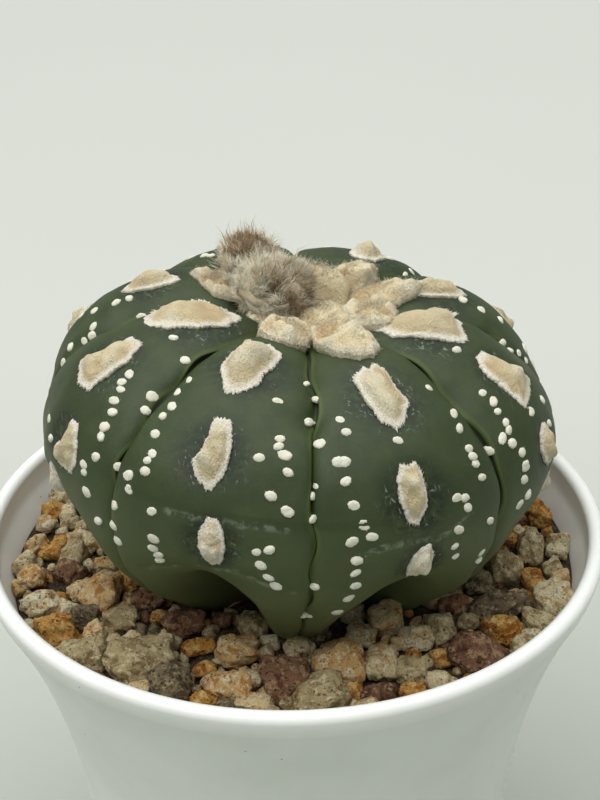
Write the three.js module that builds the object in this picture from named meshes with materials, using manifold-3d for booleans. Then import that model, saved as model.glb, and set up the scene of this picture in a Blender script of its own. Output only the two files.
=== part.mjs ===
// Potted sand dollar cactus: a low, eight-ribbed, spineless plant in a white flared pot,
// standing in taproot-deep soil under a dressing of mixed gravel.
// Millimetres, +Z up, origin at the middle of the pot's foot; the front of the plant faces -Y.

import * as THREE from "three";
import { mergeVertices } from "three/addons/utils/BufferGeometryUtils.js";
import Module from "manifold-3d";

const wasm = await Module();
wasm.setup();
const { Manifold, Mesh } = wasm;

// Driving sizes

const RIM_DIAMETER = 100;
const POT_HEIGHT = 85;
const RIM_ROLL_RADIUS = 1.3;
const WALL = 1.7;
const FOOT_WALL_RADIUS = 33.6;   // what the flare tends to, far below the rim
const FLARE = 17.1;              // how far it opens out, at the rim
const FLARE_DEPTH = 32.6;        // how fast it dies away downwards
const FOOT_RING_INNER = 31.5;
const FOOT_RECESS = 1.5;
const FLOOR_TOP = 4;
const DRAIN_RADIUS = 3;
const DRAIN_CIRCLE = 17;
const DRAIN_COUNT = 5;
const SEAT_GAP = 0.3;            // left between pieces that touch on the real thing
const SLIVER = 0.08;             // slivers finer than this are merged after a cut
const POT_SIDES = 48;
const POT_STEPS = 6;             // steps up the wall, and round the rolled rim
const FOOT_CHAMFER = 0.8;
const FLOOR_CORNER = 3;          // the sloped corner between floor and wall
const UNDER_ROLL = 2.6;          // how far under the roll's middle the wall's inside begins
const SOIL_SIDES = 32;
const BED_SIDES = 40;

const RIM_LEVEL = POT_HEIGHT - RIM_ROLL_RADIUS;
const RIM_RING_RADIUS = RIM_DIAMETER / 2 - RIM_ROLL_RADIUS;
const GRAVEL_BED_TOP = RIM_LEVEL - 7;
const GRAVEL_BED_BOTTOM = RIM_LEVEL - 14;
const GRAVEL_CEILING = RIM_LEVEL - 1;
const SOIL_TOP = GRAVEL_BED_BOTTOM - SEAT_GAP;

const RIBS = 8;
const PLANT_CENTRE = new THREE.Vector3(1.0, 1.5, RIM_LEVEL);
const TILT_FORWARD = THREE.MathUtils.degToRad(1.3);
const TILT_RIGHT = THREE.MathUtils.degToRad(3.6);
const TILT_HEIGHT = 15;          // the level about which the plant leans
const TURN = THREE.MathUtils.degToRad(2.0);

// Half outlines of the plant, as radius and height over the rim, from the crown to the neck.
// The first follows the crest of a rib, which folds in under itself and leaves a hollow.
// The second follows a groove, which runs on down to the gravel.
const CREST_LINE = [
  [0, 34.2], [5.9, 35.8], [12.4, 37.4], [19.3, 37.8], [26.2, 36.2], [32.6, 32.8], [37.4, 27.6],
  [39.8, 21.6], [39.2, 15.8], [35.4, 11.6], [29.5, 9.6], [23.5, 6.8], [18, 1.5], [14, -9],
];
const GROOVE_LINE = [
  [0, 33.2], [4.9, 34.2], [10.9, 35.8], [17.8, 36.6], [24.9, 35.2], [31.6, 31.8], [36.8, 26.8],
  [39.4, 20.8], [39.2, 14.5], [37.2, 8.6], [33.4, 2.8], [28.6, -2.6], [22, -8], [14.5, -12],
];
const CREASE_DEPTH = 1.5;
const CREASE_WIDTH = 0.9;
// The taproot, below the neck, as radius and depth under the rim.
const TAPROOT = [[11.5, -20], [8, -36], [3, -54]];
const TAPROOT_TIP = -60;
// The plain hole that it stands in.
const ROOT_HOLE = [[15.8, -12], [12.6, -20], [9.2, -36], [4.4, -54]];
const ROOT_HOLE_TIP = -62;
const ROOT_HOLE_SIDES = 16;

// Felted pads down each rib: place along the outline (0 crown, 1 neck), length down the rib,
// width across it, and degrees off the crest.
const RIB_PADS = {
  "-22.5": [[0.255, 10.5, 5.2, -0.5], [0.415, 9.2, 4.6, -0.5], [0.557, 7.4, 3.9, 2.5]],
  "22.5": [[0.312, 10.8, 5.2, -1], [0.478, 9.6, 4.2, -1.5], [0.605, 6.2, 3.8, 0]],
  "67.5": [[0.228, 13.0, 5.0, -0.5], [0.372, 8.8, 4.6, -2], [0.512, 6.8, 4.2, -3], [0.62, 5.6, 3.6, 0]],
  "112.5": [[0.262, 12.4, 5.2, -3], [0.45, 8.8, 4.6, 1], [0.58, 7.2, 4.0, 0]],
  "157.5": [[0.288, 9.0, 5.4, -6], [0.44, 8.6, 4.4, 2], [0.575, 6.4, 3.8, 0]],
  "202.5": [[0.265, 10.2, 5.0, 1], [0.4, 9.0, 4.6, -1], [0.545, 7.6, 4.0, 1]],
  "247.5": [[0.292, 10.6, 5.0, 2], [0.475, 8.4, 4.4, 0], [0.6, 6.6, 3.8, -1]],
  "292.5": [[0.205, 13.2, 5.0, -1], [0.365, 9.8, 4.8, 1], [0.508, 7.6, 4.4, 4], [0.62, 5.6, 3.6, 0]],
};
const PAD_HEIGHT = 1.1;
const PAD_SUNK = 0.8;
const PAD_SIDES = 7;
const PAD_RAGGEDNESS = 0.12;
// A pad's shoulder, as parts of its outline and of its height, and how deep its edge is sunk.
const PAD_SHOULDER_OUT = 0.86;
const PAD_SHOULDER_UP = 0.75;
const PAD_EDGE_DOWN = 0.6;

// White felt flecks on the side that the picture shows, each at its place in the picture,
// rib by rib; the picture is 600 wide and 800 high.
const FLECK_PIXELS = [
  // front left rib, its right flank
  [278, 402], [280, 440], [278, 448], [284, 456], [260, 457], [287, 473], [271, 497], [288, 512],
  [269, 550], [257, 553], [261, 565], [267, 577], [276, 586],
  // front groove
  [307, 384], [315, 399], [310, 421], [316, 486], [311, 495], [312, 518], [315, 586], [306, 614],
  // front right rib, its left flank
  [339, 420], [346, 433], [320, 444], [340, 463], [344, 461], [346, 482], [354, 505], [365, 525],
  [373, 536], [353, 541], [357, 560], [355, 572], [357, 585], [349, 599], [337, 612],
  // front right rib, its right flank
  [429, 387], [454, 414], [460, 429], [468, 449], [472, 457], [475, 464], [482, 477], [457, 497],
  [464, 498], [467, 507], [458, 529], [491, 520], [455, 546], [455, 556], [483, 553], [479, 560],
  [399, 442], [488, 451],
  // right rib
  [457, 350], [483, 392], [493, 401], [497, 411], [505, 423], [507, 430], [502, 438], [512, 443],
  [522, 453], [524, 467], [524, 479], [528, 495], [520, 505], [503, 342], [511, 349], [520, 354],
  [527, 360], [541, 401], [547, 423], [546, 437], [529, 413], [480, 311],
  // back right rib
  [391, 282], [398, 279], [405, 276], [411, 273],
  // front left rib, its left flank
  [184, 360], [189, 380], [177, 392], [172, 407], [164, 416], [157, 434], [154, 454], [149, 461],
  [146, 472], [130, 475], [130, 490], [153, 511], [154, 538], [153, 548], [157, 556], [159, 561],
  // left groove
  [152, 395], [145, 411], [118, 465], [115, 505], [116, 525], [119, 541],
  // left rib
  [173, 338], [129, 375], [122, 383], [121, 389], [114, 401], [111, 413], [105, 426], [101, 438],
  [95, 457], [84, 464], [84, 472], [85, 492], [91, 509], [97, 521], [142, 316], [93, 327],
  [93, 336], [84, 342], [71, 347], [63, 362], [54, 392], [49, 419], [50, 439],
  // back left rib
  [130, 299], [116, 303], [212, 257],
];
const FLECK_RADIUS = 0.85;
const FLECK_HEIGHT = 0.45;
const FLECK_SUNK = 0.5;
const FLECK_SIDES = 4;
const FLECK_LENGTH_TO_WIDTH = 1.1;
const FLECK_RAGGEDNESS = 0.1;
const FLECK_EDGE_DOWN = 0.3;
// On the far side the flecks follow a rule: a wandering row down each flank of a rib.
const FAR_FLANK_ROWS = 6;

// The picture's viewpoint, about the middle of the pot's rim.
const PICTURE_WIDTH = 600;
const PICTURE_HEIGHT = 800;
const FOCAL_LENGTH_PIXELS = 1400;
const EYE_DISTANCE = 229;
const EYE_ELEVATION = THREE.MathUtils.degToRad(33.31);
const EYE_AIM = THREE.MathUtils.degToRad(4.79);
const EYE_YAW = THREE.MathUtils.degToRad(0.48);
const EYE_ROLL = THREE.MathUtils.degToRad(-1.03);

// Merged wool of the youngest pads about the crown: degrees from the front, place along the
// outline, length and width, height, and the length's heading off the radius, in degrees.
const CROWN_PADS = [
  [-17, 0.115, 9.4, 8.4, 3.4, 0], [25, 0.166, 14.0, 7.6, 3.2, 0], [72, 0.13, 8.8, 7.8, 3.6, 0],
  [107, 0.158, 12.4, 6.2, 2.8, 4], [142, 0.17, 12.0, 6.6, 3.6, -6], [204, 0.15, 8.6, 5.6, 2.8, 6],
  [-114, 0.17, 9.8, 5.0, 2.6, -15], [-70, 0.075, 7.0, 6.0, 2.4, 0],
];
// Heaped wool in the middle of the crown: place across and back from the plant's centre and
// height over the rim, then its three half sizes.
const CROWN_HEAPS = [
  [2.3, 4.4, 36.6, 4.8, 4.8, 5.4], [-4.4, 3.6, 35.0, 6.6, 5.6, 3.4],
  [-7.4, 8.4, 36.2, 5.8, 5.2, 3.4], [2.8, -2.0, 35.2, 5.6, 5.2, 3.2],
];
const WOOL_RAGGEDNESS = 0.16;
const CROWN_PAD_SUNK = 1.2;
const WOOL_SIDES = 8;
const WOOL_LEVELS = 4;

// The two woolly buds on the crown: centre as for the heaps, half sizes, lean of the tuft
// (across, back, up) and how many tufts of hair stand on it.
const BUD_FRONT = {
  centre: [-4.6, 1.2, 39.4], half: [6.0, 5.2, 4.2], lean: [0.55, -0.15, 0.8], tufts: 28, seed: 71,
};
const BUD_BACK = {
  centre: [-8.5, 8.2, 39.8], half: [4.6, 4.6, 4.7], lean: [-0.1, 0.15, 1], tufts: 24, seed: 72,
};
const TUFT_LENGTH = 1.7;
const TUFT_ROOT = 0.86;          // a tuft's root, as a part of the ball's radius
const TUFTS_DOWN_TO = -0.1;     // the lowest tufts' height on the ball, as a part of its radius
const TUFT_WIDTH = 0.55;
const BUD_SIDES = 10;
const BUD_LEVELS = 6;
const GOLDEN_TURN = 2.39996;     // radians from one tuft to the next, which spreads them evenly

// The larger stones of the dressing that the picture shows: place in the picture and size there.
const STONE_PIXELS = [
  [140, 653, 80, 62], [170, 678, 46, 44], [82, 651, 48, 43], [41, 600, 48, 31], [56, 626, 46, 40],
  [101, 587, 43, 48], [147, 594, 37, 29], [184, 619, 42, 33], [119, 615, 37, 30], [85, 613, 30, 28],
  [237, 646, 50, 41], [197, 644, 38, 21], [254, 623, 34, 26], [226, 682, 48, 36], [256, 701, 34, 24],
  [73, 550, 31, 34], [41, 573, 66, 25], [97, 537, 30, 28], [52, 508, 28, 26], [69, 520, 26, 24],
  [34, 529, 30, 26], [51, 550, 26, 22], [138, 687, 26, 20], [298, 644, 33, 25], [287, 673, 46, 48],
  [320, 690, 59, 47], [341, 657, 53, 52], [381, 657, 37, 44], [413, 666, 36, 32], [438, 678, 26, 23],
  [386, 613, 37, 44], [416, 632, 36, 30], [442, 623, 31, 38], [476, 648, 58, 55], [503, 625, 44, 36],
  [499, 602, 62, 35], [505, 562, 39, 51], [530, 542, 31, 52], [551, 593, 40, 43], [538, 619, 32, 26],
  [558, 542, 28, 34], [531, 504, 28, 24], [553, 565, 28, 26], [478, 579, 36, 30], [453, 604, 34, 26],
  [379, 692, 36, 24], [411, 688, 28, 22], [361, 632, 34, 28], [205, 667, 26, 20], [203, 696, 30, 20],
];
// A picture stone is seen at this level, or lower where it would not reach the bed, and its
// centre lies a part of its half height below that.
const STONE_PICTURE_LEVEL = RIM_LEVEL - 4.5;
const STONE_CENTRE_DOWN = 0.4;
const STONE_HIGHEST_SEAT = 0.45;
const STONE_DEPTH = 0.42;        // half height of a picture stone over its height in the picture
const STONE_SWING = 0.6;         // how far it may be turned, in all, in radians
const STONE_MEAN_RADIUS = 2.8;
const STONE_TRIES = 1500;
const GRIT_TRIES = 100;
const GRIT_RADIUS = 1.6;
const STONE_FLATNESS = 0.75;
const STONE_LIFT = 0.6;          // lowest centre of a stone over the bed's top, and of grit
const GRIT_LIFT = 0.2;
const LIFT_RANGE = 1.2;
// How near stones come to each other and to the plant, as parts of their half widths.
const PICTURE_SPACING = { apart: 0.45, clear: 0.62 };
const STONE_SPACING = { apart: 0.8, clear: 1.05 };
const GRIT_SPACING = { apart: 0.84, clear: 1.05 };
const BLOCKY_BELOW = 4.6;        // stones with a smaller half width are blocks
const BLOCK_SIDE = 1.45;
const STONE_LEAST = 0.84;        // a corner's least reach, and how much more it may have
const STONE_UNEVENNESS = 0.34;
const STONE_TIP = 5;             // turns about the length for each turn about the upright
const GRAVEL_INNER = 20;
const GRAVEL_WIDTH = 27;

// Small helpers

// A seeded row of numbers from 0 to 1, the same on every run.
function randomRow(seed) {
  let state = seed >>> 0;
  return () => {
    state = (Math.imul(state, 1664525) + 1013904223) >>> 0;
    return state / 4294967296;
  };
}

// Uniform Catmull-Rom through a list of [radius, height], for t from 0 to 1.
function along(points, t) {
  const last = points.length - 1;
  const x = Math.min(Math.max(t * last, 0), last - 1e-9);
  const i = Math.floor(x);
  const f = x - i;
  const at = (k) => points[Math.min(Math.max(k, 0), last)];
  return [0, 1].map((axis) => {
    const [a, b, c, d] = [at(i - 1)[axis], at(i)[axis], at(i + 1)[axis], at(i + 2)[axis]];
    return 0.5 * (2 * b + (c - a) * f + (2 * a - 5 * b + 4 * c - d) * f * f
      + (3 * b - a - 3 * c + d) * f * f * f);
  });
}

// A closed surface from rings of points, with a single point at each end.
function ringSurface(firstPole, rings, lastPole) {
  const sides = rings[0].length;
  const points = [firstPole, ...rings.flat(), lastPole];
  const index = [];
  const at = (ring, side) => 1 + ring * sides + (side % sides);
  for (let side = 0; side < sides; side += 1) {
    index.push(0, at(0, side), at(0, side + 1));
    for (let ring = 0; ring < rings.length - 1; ring += 1) {
      index.push(at(ring, side), at(ring + 1, side), at(ring + 1, side + 1));
      index.push(at(ring, side), at(ring + 1, side + 1), at(ring, side + 1));
    }
    index.push(points.length - 1, at(rings.length - 1, side + 1), at(rings.length - 1, side));
  }
  const geometry = new THREE.BufferGeometry().setFromPoints(points);
  geometry.setIndex(index);
  return geometry;
}

function solidOf(geometry) {
  const bare = geometry.clone();
  bare.deleteAttribute("normal");
  bare.deleteAttribute("uv");
  const merged = mergeVertices(bare, 1e-5);
  const solid = new Manifold(new Mesh({
    numProp: 3,
    vertProperties: Float32Array.from(merged.attributes.position.array),
    triVerts: Uint32Array.from(merged.index.array),
  }));
  return solid.volume() < 0 ? solidOf(flipped(merged)) : solid;
}

function flipped(geometry) {
  const copy = geometry.clone();
  const index = Array.from(copy.index.array);
  for (let i = 0; i < index.length; i += 3) {
    [index[i + 1], index[i + 2]] = [index[i + 2], index[i + 1]];
  }
  copy.setIndex(index);
  return copy;
}

function lathe(outline, segments) {
  return new THREE.LatheGeometry(outline.map(([r, z]) => new THREE.Vector2(r, z)), segments)
    .rotateX(Math.PI / 2);
}

const union = (solids) => solids.reduce((sum, solid) => sum.add(solid));

// A solid's corners and triangles as a geometry, with its numbers rounded to 32 bits.
function geometryOf(solid) {
  const { vertProperties, triVerts } = solid.getMesh();
  const geometry = new THREE.BufferGeometry();
  geometry.setAttribute("position", new THREE.BufferAttribute(Float32Array.from(vertProperties), 3));
  geometry.setIndex(new THREE.BufferAttribute(Uint32Array.from(triVerts), 1));
  return geometry;
}

// The largest body of a cut solid: crumbs that a cut leaves behind are dropped, slivers finer
// than the tolerance are merged, and so are pinholes that rounding closes off.
function mainBody(solid) {
  const largest = (parts) => parts.reduce((a, b) => (b.volume() > a.volume() ? b : a));
  const simple = largest(largest(solid.decompose()).simplify(SLIVER).decompose());
  return largest(solidOf(geometryOf(simple)).decompose());
}

// The pot

const wallRadius = (z) => FOOT_WALL_RADIUS + FLARE * Math.exp((z - RIM_LEVEL) / FLARE_DEPTH);

// The inside of the wall, from under the rim down to the floor's rounded corner, and its
// radius at any height between those levels.
const INSIDE_TOP = RIM_LEVEL - UNDER_ROLL;
const INSIDE_BOTTOM = FLOOR_TOP + FLOOR_CORNER;
const INSIDE_LEVELS = [0, 0.22, 0.55, 1].map((down) => (
  INSIDE_TOP + (INSIDE_BOTTOM - INSIDE_TOP) * down));
const INSIDE_WALL = INSIDE_LEVELS.map((z) => [wallRadius(z) - WALL, z]);

function insideRadius(z) {
  const next = INSIDE_WALL.findIndex(([, level]) => level <= z);
  if (next <= 0) {
    return next < 0 ? INSIDE_WALL.at(-1)[0] : INSIDE_WALL[0][0];
  }
  const [above, below] = [INSIDE_WALL[next - 1], INSIDE_WALL[next]];
  return THREE.MathUtils.mapLinear(z, below[1], above[1], below[0], above[0]);
}

function pot() {
  const outline = [
    [0, FOOT_RECESS], [FOOT_RING_INNER, FOOT_RECESS], [FOOT_RING_INNER + FOOT_RECESS / 3, 0],
    [wallRadius(0) - FOOT_CHAMFER, 0],
  ];
  for (let i = 0; i < POT_STEPS; i += 1) {
    const up = Math.sin((i / (POT_STEPS - 1)) * (Math.PI / 2));
    const z = FOOT_CHAMFER + (INSIDE_TOP - FOOT_CHAMFER) * up;
    outline.push([wallRadius(z), z]);
  }
  for (let i = 0; i <= POT_STEPS; i += 1) {
    const angle = Math.PI * (i / POT_STEPS);
    outline.push([
      RIM_RING_RADIUS + RIM_ROLL_RADIUS * Math.cos(angle),
      RIM_LEVEL + RIM_ROLL_RADIUS * Math.sin(angle),
    ]);
  }
  outline.push(...INSIDE_WALL, [INSIDE_WALL.at(-1)[0] - FLOOR_CORNER, FLOOR_TOP], [0, FLOOR_TOP]);
  let shell = solidOf(lathe(outline, POT_SIDES));
  for (let i = 0; i < DRAIN_COUNT; i += 1) {
    const angle = (i / DRAIN_COUNT) * 2 * Math.PI;
    const hole = new THREE.CylinderGeometry(DRAIN_RADIUS, DRAIN_RADIUS, 3 * FLOOR_TOP, 12);
    hole.rotateX(Math.PI / 2);
    hole.translate(DRAIN_CIRCLE * Math.cos(angle), DRAIN_CIRCLE * Math.sin(angle), FLOOR_TOP / 2);
    shell = shell.subtract(solidOf(hole));
  }
  return shell;
}

// What fills the pot between two levels, a seat gap short of its wall.
function potFill(bottom, top, segments) {
  const levels = INSIDE_LEVELS.filter((z) => z > bottom && z < top).reverse();
  const outline = [[0, bottom]];
  if (bottom < INSIDE_BOTTOM) {
    outline.push([INSIDE_WALL.at(-1)[0] - FLOOR_CORNER - SEAT_GAP, bottom]);
  } else {
    outline.push([insideRadius(bottom) - SEAT_GAP, bottom]);
  }
  levels.forEach((z) => outline.push([insideRadius(z) - SEAT_GAP, z]));
  outline.push([insideRadius(top) - SEAT_GAP, top], [0, top]);
  return solidOf(lathe(outline, segments));
}

// The plant's body

// A point of the body: azimuth in radians from the front, towards the right, and t from the
// crown (0) to the neck (1). Its own formula sinks a crease along each groove.
function plantPoint(azimuth, t) {
  const phase = (azimuth * RIBS) / (2 * Math.PI);
  const u = Math.abs(((phase + 0.5) % 1 + 1) % 1 - 0.5) * 2;   // 0 in a groove, 1 on a crest
  const high = t < 0.5
    ? Math.sin((u * Math.PI) / 2) ** 0.9
    : (0.5 - 0.5 * Math.cos(Math.PI * u)) ** (1 + 0.8 * Math.min(1, (t - 0.5) * 5));
  const [crestRadius, crestHeight] = along(CREST_LINE, t);
  const [grooveRadius, grooveHeight] = along(GROOVE_LINE, t);
  let radius = grooveRadius + (crestRadius - grooveRadius) * high;
  let height = grooveHeight + (crestHeight - grooveHeight) * high;
  const fromGroove = (radius * u * Math.PI) / RIBS;
  const crease = CREASE_DEPTH * Math.exp(-fromGroove / CREASE_WIDTH) * Math.min(1, radius / 10);
  radius -= 0.8 * crease;
  height -= 0.5 * crease * Math.min(1, Math.max(0, (height - 20) / 10));
  return leaned(radius, azimuth, height);
}

// A place on the plant from radius, azimuth and height over the rim, with the plant's lean.
function leaned(radius, azimuth, height) {
  const point = new THREE.Vector3(
    radius * Math.sin(azimuth + TURN),
    -radius * Math.cos(azimuth + TURN),
    height - TILT_HEIGHT,
  );
  point.applyAxisAngle(new THREE.Vector3(0, 1, 0), TILT_RIGHT);
  point.applyAxisAngle(new THREE.Vector3(1, 0, 0), TILT_FORWARD);
  return point.add(new THREE.Vector3(0, 0, TILT_HEIGHT)).add(PLANT_CENTRE);
}

// The body's outward direction, with its downhill and sideways directions.
function plantFrame(azimuth, t) {
  const step = 1e-3;
  const point = plantPoint(azimuth, t);
  const down = plantPoint(azimuth, t + step).sub(plantPoint(azimuth, t - step)).normalize();
  const side = plantPoint(azimuth + step, t).sub(plantPoint(azimuth - step, t)).normalize();
  const out = new THREE.Vector3().crossVectors(down, side).normalize();
  return { point, down, side: new THREE.Vector3().crossVectors(out, down), out };
}

// Grid of the body and its taproot; a crest needs few points, a groove's crease needs more.
const HALF_RIB_STEPS = [0, 0.09, 0.36, 0.7];
const DOWN_STEPS = 15;

function plantRings() {
  const azimuths = [];
  for (let rib = 0; rib < RIBS; rib += 1) {
    const groove = (rib * 2 * Math.PI) / RIBS;
    const half = Math.PI / RIBS;
    HALF_RIB_STEPS.forEach((u) => azimuths.push(groove + u * half));
    azimuths.push(groove + half);
    HALF_RIB_STEPS.slice(1).reverse().forEach((u) => azimuths.push(groove + (2 - u) * half));
  }
  const rings = [];
  for (let i = 1; i <= DOWN_STEPS; i += 1) {
    rings.push(azimuths.map((azimuth) => plantPoint(azimuth, i / DOWN_STEPS)));
  }
  TAPROOT.forEach(([radius, height]) => {
    rings.push(azimuths.map((azimuth) => leaned(radius, azimuth, height)));
  });
  return rings;
}

function rootHole() {
  const rings = ROOT_HOLE.map(([radius, height]) => Array.from({ length: ROOT_HOLE_SIDES }, (_, i) => (
    leaned(radius, (i / ROOT_HOLE_SIDES) * 2 * Math.PI, height))));
  return solidOf(ringSurface(leaned(0, 0, ROOT_HOLE[0][1]), rings, leaned(0, 0, ROOT_HOLE_TIP)));
}

// The bare body, grown outward by a distance to make room for it in its neighbours.
function plantBody(grow = 0) {
  const crown = plantPoint(0, 0);
  const geometry = ringSurface(crown, plantRings(), leaned(0, 0, TAPROOT_TIP));
  if (grow > 0) {
    geometry.computeVertexNormals();
    const { position, normal } = geometry.attributes;
    const sign = normal.getZ(0) > 0 ? 1 : -1;
    for (let i = 0; i < position.count; i += 1) {
      position.setXYZ(
        i,
        position.getX(i) + sign * grow * normal.getX(i),
        position.getY(i) + sign * grow * normal.getY(i),
        position.getZ(i) + sign * grow * normal.getZ(i),
      );
    }
  }
  return solidOf(geometry);
}

// Felt pads and flecks

// A low felted pad or dome on the body: an uneven ring of sides, sunk below the skin and
// raised above it.
function feltDome(
  azimuth, t, length, width, height, sunk, sides, random, heading = 0, rough = PAD_RAGGEDNESS,
) {
  const { point, down, side, out } = plantFrame(azimuth, t);
  const turned = down.clone().applyAxisAngle(out, heading);
  const across = side.clone().applyAxisAngle(out, heading);
  const edge = Array.from({ length: sides }, () => 1 + rough * (2 * random() - 1));
  const ring = (scale, lift) => edge.map((uneven, i) => {
    const angle = (i / sides) * 2 * Math.PI;
    return point.clone()
      .addScaledVector(turned, 0.5 * length * scale * uneven * Math.cos(angle))
      .addScaledVector(across, 0.5 * width * scale * uneven * Math.sin(angle))
      .addScaledVector(out, lift);
  });
  const foot = point.clone().addScaledVector(out, -sunk);
  const top = point.clone().addScaledVector(out, height);
  const rings = sides > FLECK_SIDES
    ? [ring(1, -PAD_EDGE_DOWN * sunk), ring(PAD_SHOULDER_OUT, PAD_SHOULDER_UP * height)]
    : [ring(1, -FLECK_EDGE_DOWN * sunk)];
  return solidOf(ringSurface(foot, rings, top));
}

function ribPads(grow = 0) {
  const random = randomRow(11);
  return Object.entries(RIB_PADS).flatMap(([crest, pads]) => pads.map(([t, length, width, off]) => (
    feltDome(
      THREE.MathUtils.degToRad(Number(crest) + off), t, length + 2 * grow, width + 2 * grow,
      PAD_HEIGHT + grow, PAD_SUNK, PAD_SIDES, random,
    ))));
}

// The eye's place and axes in the plant's frame.
function eye() {
  const place = new THREE.Vector3(
    0,
    -EYE_DISTANCE * Math.cos(EYE_ELEVATION),
    RIM_LEVEL + EYE_DISTANCE * Math.sin(EYE_ELEVATION),
  );
  const pitch = EYE_AIM - EYE_ELEVATION;
  const forward = new THREE.Vector3(
    Math.sin(EYE_YAW) * Math.cos(pitch), Math.cos(EYE_YAW) * Math.cos(pitch), Math.sin(pitch),
  );
  const level = new THREE.Vector3().crossVectors(forward, new THREE.Vector3(0, 0, 1)).normalize();
  const right = level.applyAxisAngle(forward, -EYE_ROLL);
  const up = new THREE.Vector3().crossVectors(right, forward);
  return { place, forward, right, up };
}

const EYE = eye();

// A point's place in the picture.
function inPicture(point) {
  const view = point.clone().sub(EYE.place);
  const depth = view.dot(EYE.forward);
  return [
    PICTURE_WIDTH / 2 + (FOCAL_LENGTH_PIXELS * view.dot(EYE.right)) / depth,
    PICTURE_HEIGHT / 2 - (FOCAL_LENGTH_PIXELS * view.dot(EYE.up)) / depth,
  ];
}

// Samples of the near side of the body, with their places in the picture.
function nearSideSamples() {
  const samples = [];
  for (let azimuth = -180; azimuth < 180; azimuth += 0.5) {
    for (let t = 0.02; t < 0.8; t += 0.004) {
      const angle = THREE.MathUtils.degToRad(azimuth);
      const { point, out } = plantFrame(angle, t);
      if (out.dot(EYE.place.clone().sub(point)) > 0) {
        samples.push([angle, t, ...inPicture(point)]);
      }
    }
  }
  return samples;
}

// Flecks of the near side by their places in the picture.
function nearFlecks() {
  const samples = nearSideSamples();
  return FLECK_PIXELS.map(([x, y]) => {
    const best = samples.reduce((a, b) => (
      Math.hypot(b[2] - x, b[3] - y) < Math.hypot(a[2] - x, a[3] - y) ? b : a));
    return [best[0], best[1]];
  });
}

// Flecks of the far side by rule: down both flanks of each rib, wandering about mid flank.
function farFlecks(random) {
  const flecks = [];
  for (let crest = 112.5; crest <= 247.5; crest += 45) {
    [-1, 1].forEach((flank) => {
      for (let i = 0; i < FAR_FLANK_ROWS; i += 1) {
        const t = 0.3 + (0.36 * (i + 0.7 * random())) / FAR_FLANK_ROWS;
        const off = flank * (9 + 3 * Math.sin(i * 0.9 + crest) + 3 * random());
        flecks.push([THREE.MathUtils.degToRad(crest + off), t]);
      }
    });
  }
  return flecks;
}

function fleckDomes() {
  const random = randomRow(23);
  const places = [...nearFlecks(), ...farFlecks(random)];
  return places.map(([azimuth, t]) => {
    const size = 2 * FLECK_RADIUS * (0.85 + 0.35 * random());
    return feltDome(
      azimuth, t, size * FLECK_LENGTH_TO_WIDTH, size, FLECK_HEIGHT, FLECK_SUNK, FLECK_SIDES, random,
      Math.PI * random(), FLECK_RAGGEDNESS,
    );
  });
}

// The crown's wool and buds

// A lumpy woolly ball, grown by a distance where it makes room in a neighbour.
function woolBall([x, y, z], half, seed, grow = 0, sides = WOOL_SIDES, levels = WOOL_LEVELS) {
  const random = randomRow(seed);
  const centre = leaned(Math.hypot(x, y), Math.atan2(x, -y) - TURN, z);
  const rings = [];
  for (let level = 1; level < levels; level += 1) {
    const polar = (level / levels) * Math.PI;
    rings.push(Array.from({ length: sides }, (_, i) => {
      const angle = ((i + 0.5 * (level % 2)) / sides) * 2 * Math.PI;
      const lump = 1 + WOOL_RAGGEDNESS * (random() - 0.5);
      return centre.clone().add(new THREE.Vector3(
        (half[0] * lump + grow) * Math.sin(polar) * Math.cos(angle),
        (half[1] * lump + grow) * Math.sin(polar) * Math.sin(angle),
        (half[2] * lump + grow) * Math.cos(polar),
      ));
    }));
  }
  const top = centre.clone().add(new THREE.Vector3(0, 0, half[2] + grow));
  const foot = centre.clone().add(new THREE.Vector3(0, 0, -half[2] - grow));
  return solidOf(ringSurface(top, rings, foot));
}

// A thin three-sided tuft of hair from a point along a direction.
function hairTuft(root, direction, length, width) {
  const cone = new THREE.ConeGeometry(width, length, 3);
  cone.translate(0, length / 2, 0);
  cone.applyQuaternion(new THREE.Quaternion().setFromUnitVectors(
    new THREE.Vector3(0, 1, 0), direction.clone().normalize(),
  ));
  cone.translate(root.x, root.y, root.z);
  return solidOf(cone);
}

// A woolly bud: a lumpy ball with tufts of hair swept towards its lean.
function bud({ centre, half, lean, tufts, seed }, grow = 0) {
  const random = randomRow(seed + 100);
  const [x, y, z] = centre;
  const middle = leaned(Math.hypot(x, y), Math.atan2(x, -y) - TURN, z);
  const sweep = new THREE.Vector3(...lean).normalize();
  const parts = [woolBall(centre, half, seed, grow, BUD_SIDES, BUD_LEVELS)];
  for (let i = 0; i < tufts; i += 1) {
    const height = 1 - ((1 - TUFTS_DOWN_TO) * (i + 0.5)) / tufts;
    const angle = i * GOLDEN_TURN + 0.4 * random();
    const flat = Math.sqrt(1 - height * height);
    const normal = new THREE.Vector3(flat * Math.cos(angle), flat * Math.sin(angle), height);
    const onBall = normal.clone().multiply(new THREE.Vector3(...half));
    const root = middle.clone().addScaledVector(onBall, TUFT_ROOT);
    const direction = normal.clone().addScaledVector(sweep, 0.5 + 0.4 * random());
    const length = TUFT_LENGTH * (0.8 + 0.6 * random()) + grow;
    parts.push(hairTuft(root, direction, length, TUFT_WIDTH + grow));
  }
  return union(parts);
}

function crownWool() {
  const random = randomRow(31);
  const pads = CROWN_PADS.map(([degrees, t, length, width, height, heading]) => feltDome(
    THREE.MathUtils.degToRad(degrees), t, length, width, height, CROWN_PAD_SUNK, PAD_SIDES, random,
    THREE.MathUtils.degToRad(heading), WOOL_RAGGEDNESS,
  ));
  const heaps = CROWN_HEAPS.map(([x, y, z, ...half], i) => woolBall([x, y, z], half, 41 + i));
  return union([...pads, ...heaps]);
}

// The gravel

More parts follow.
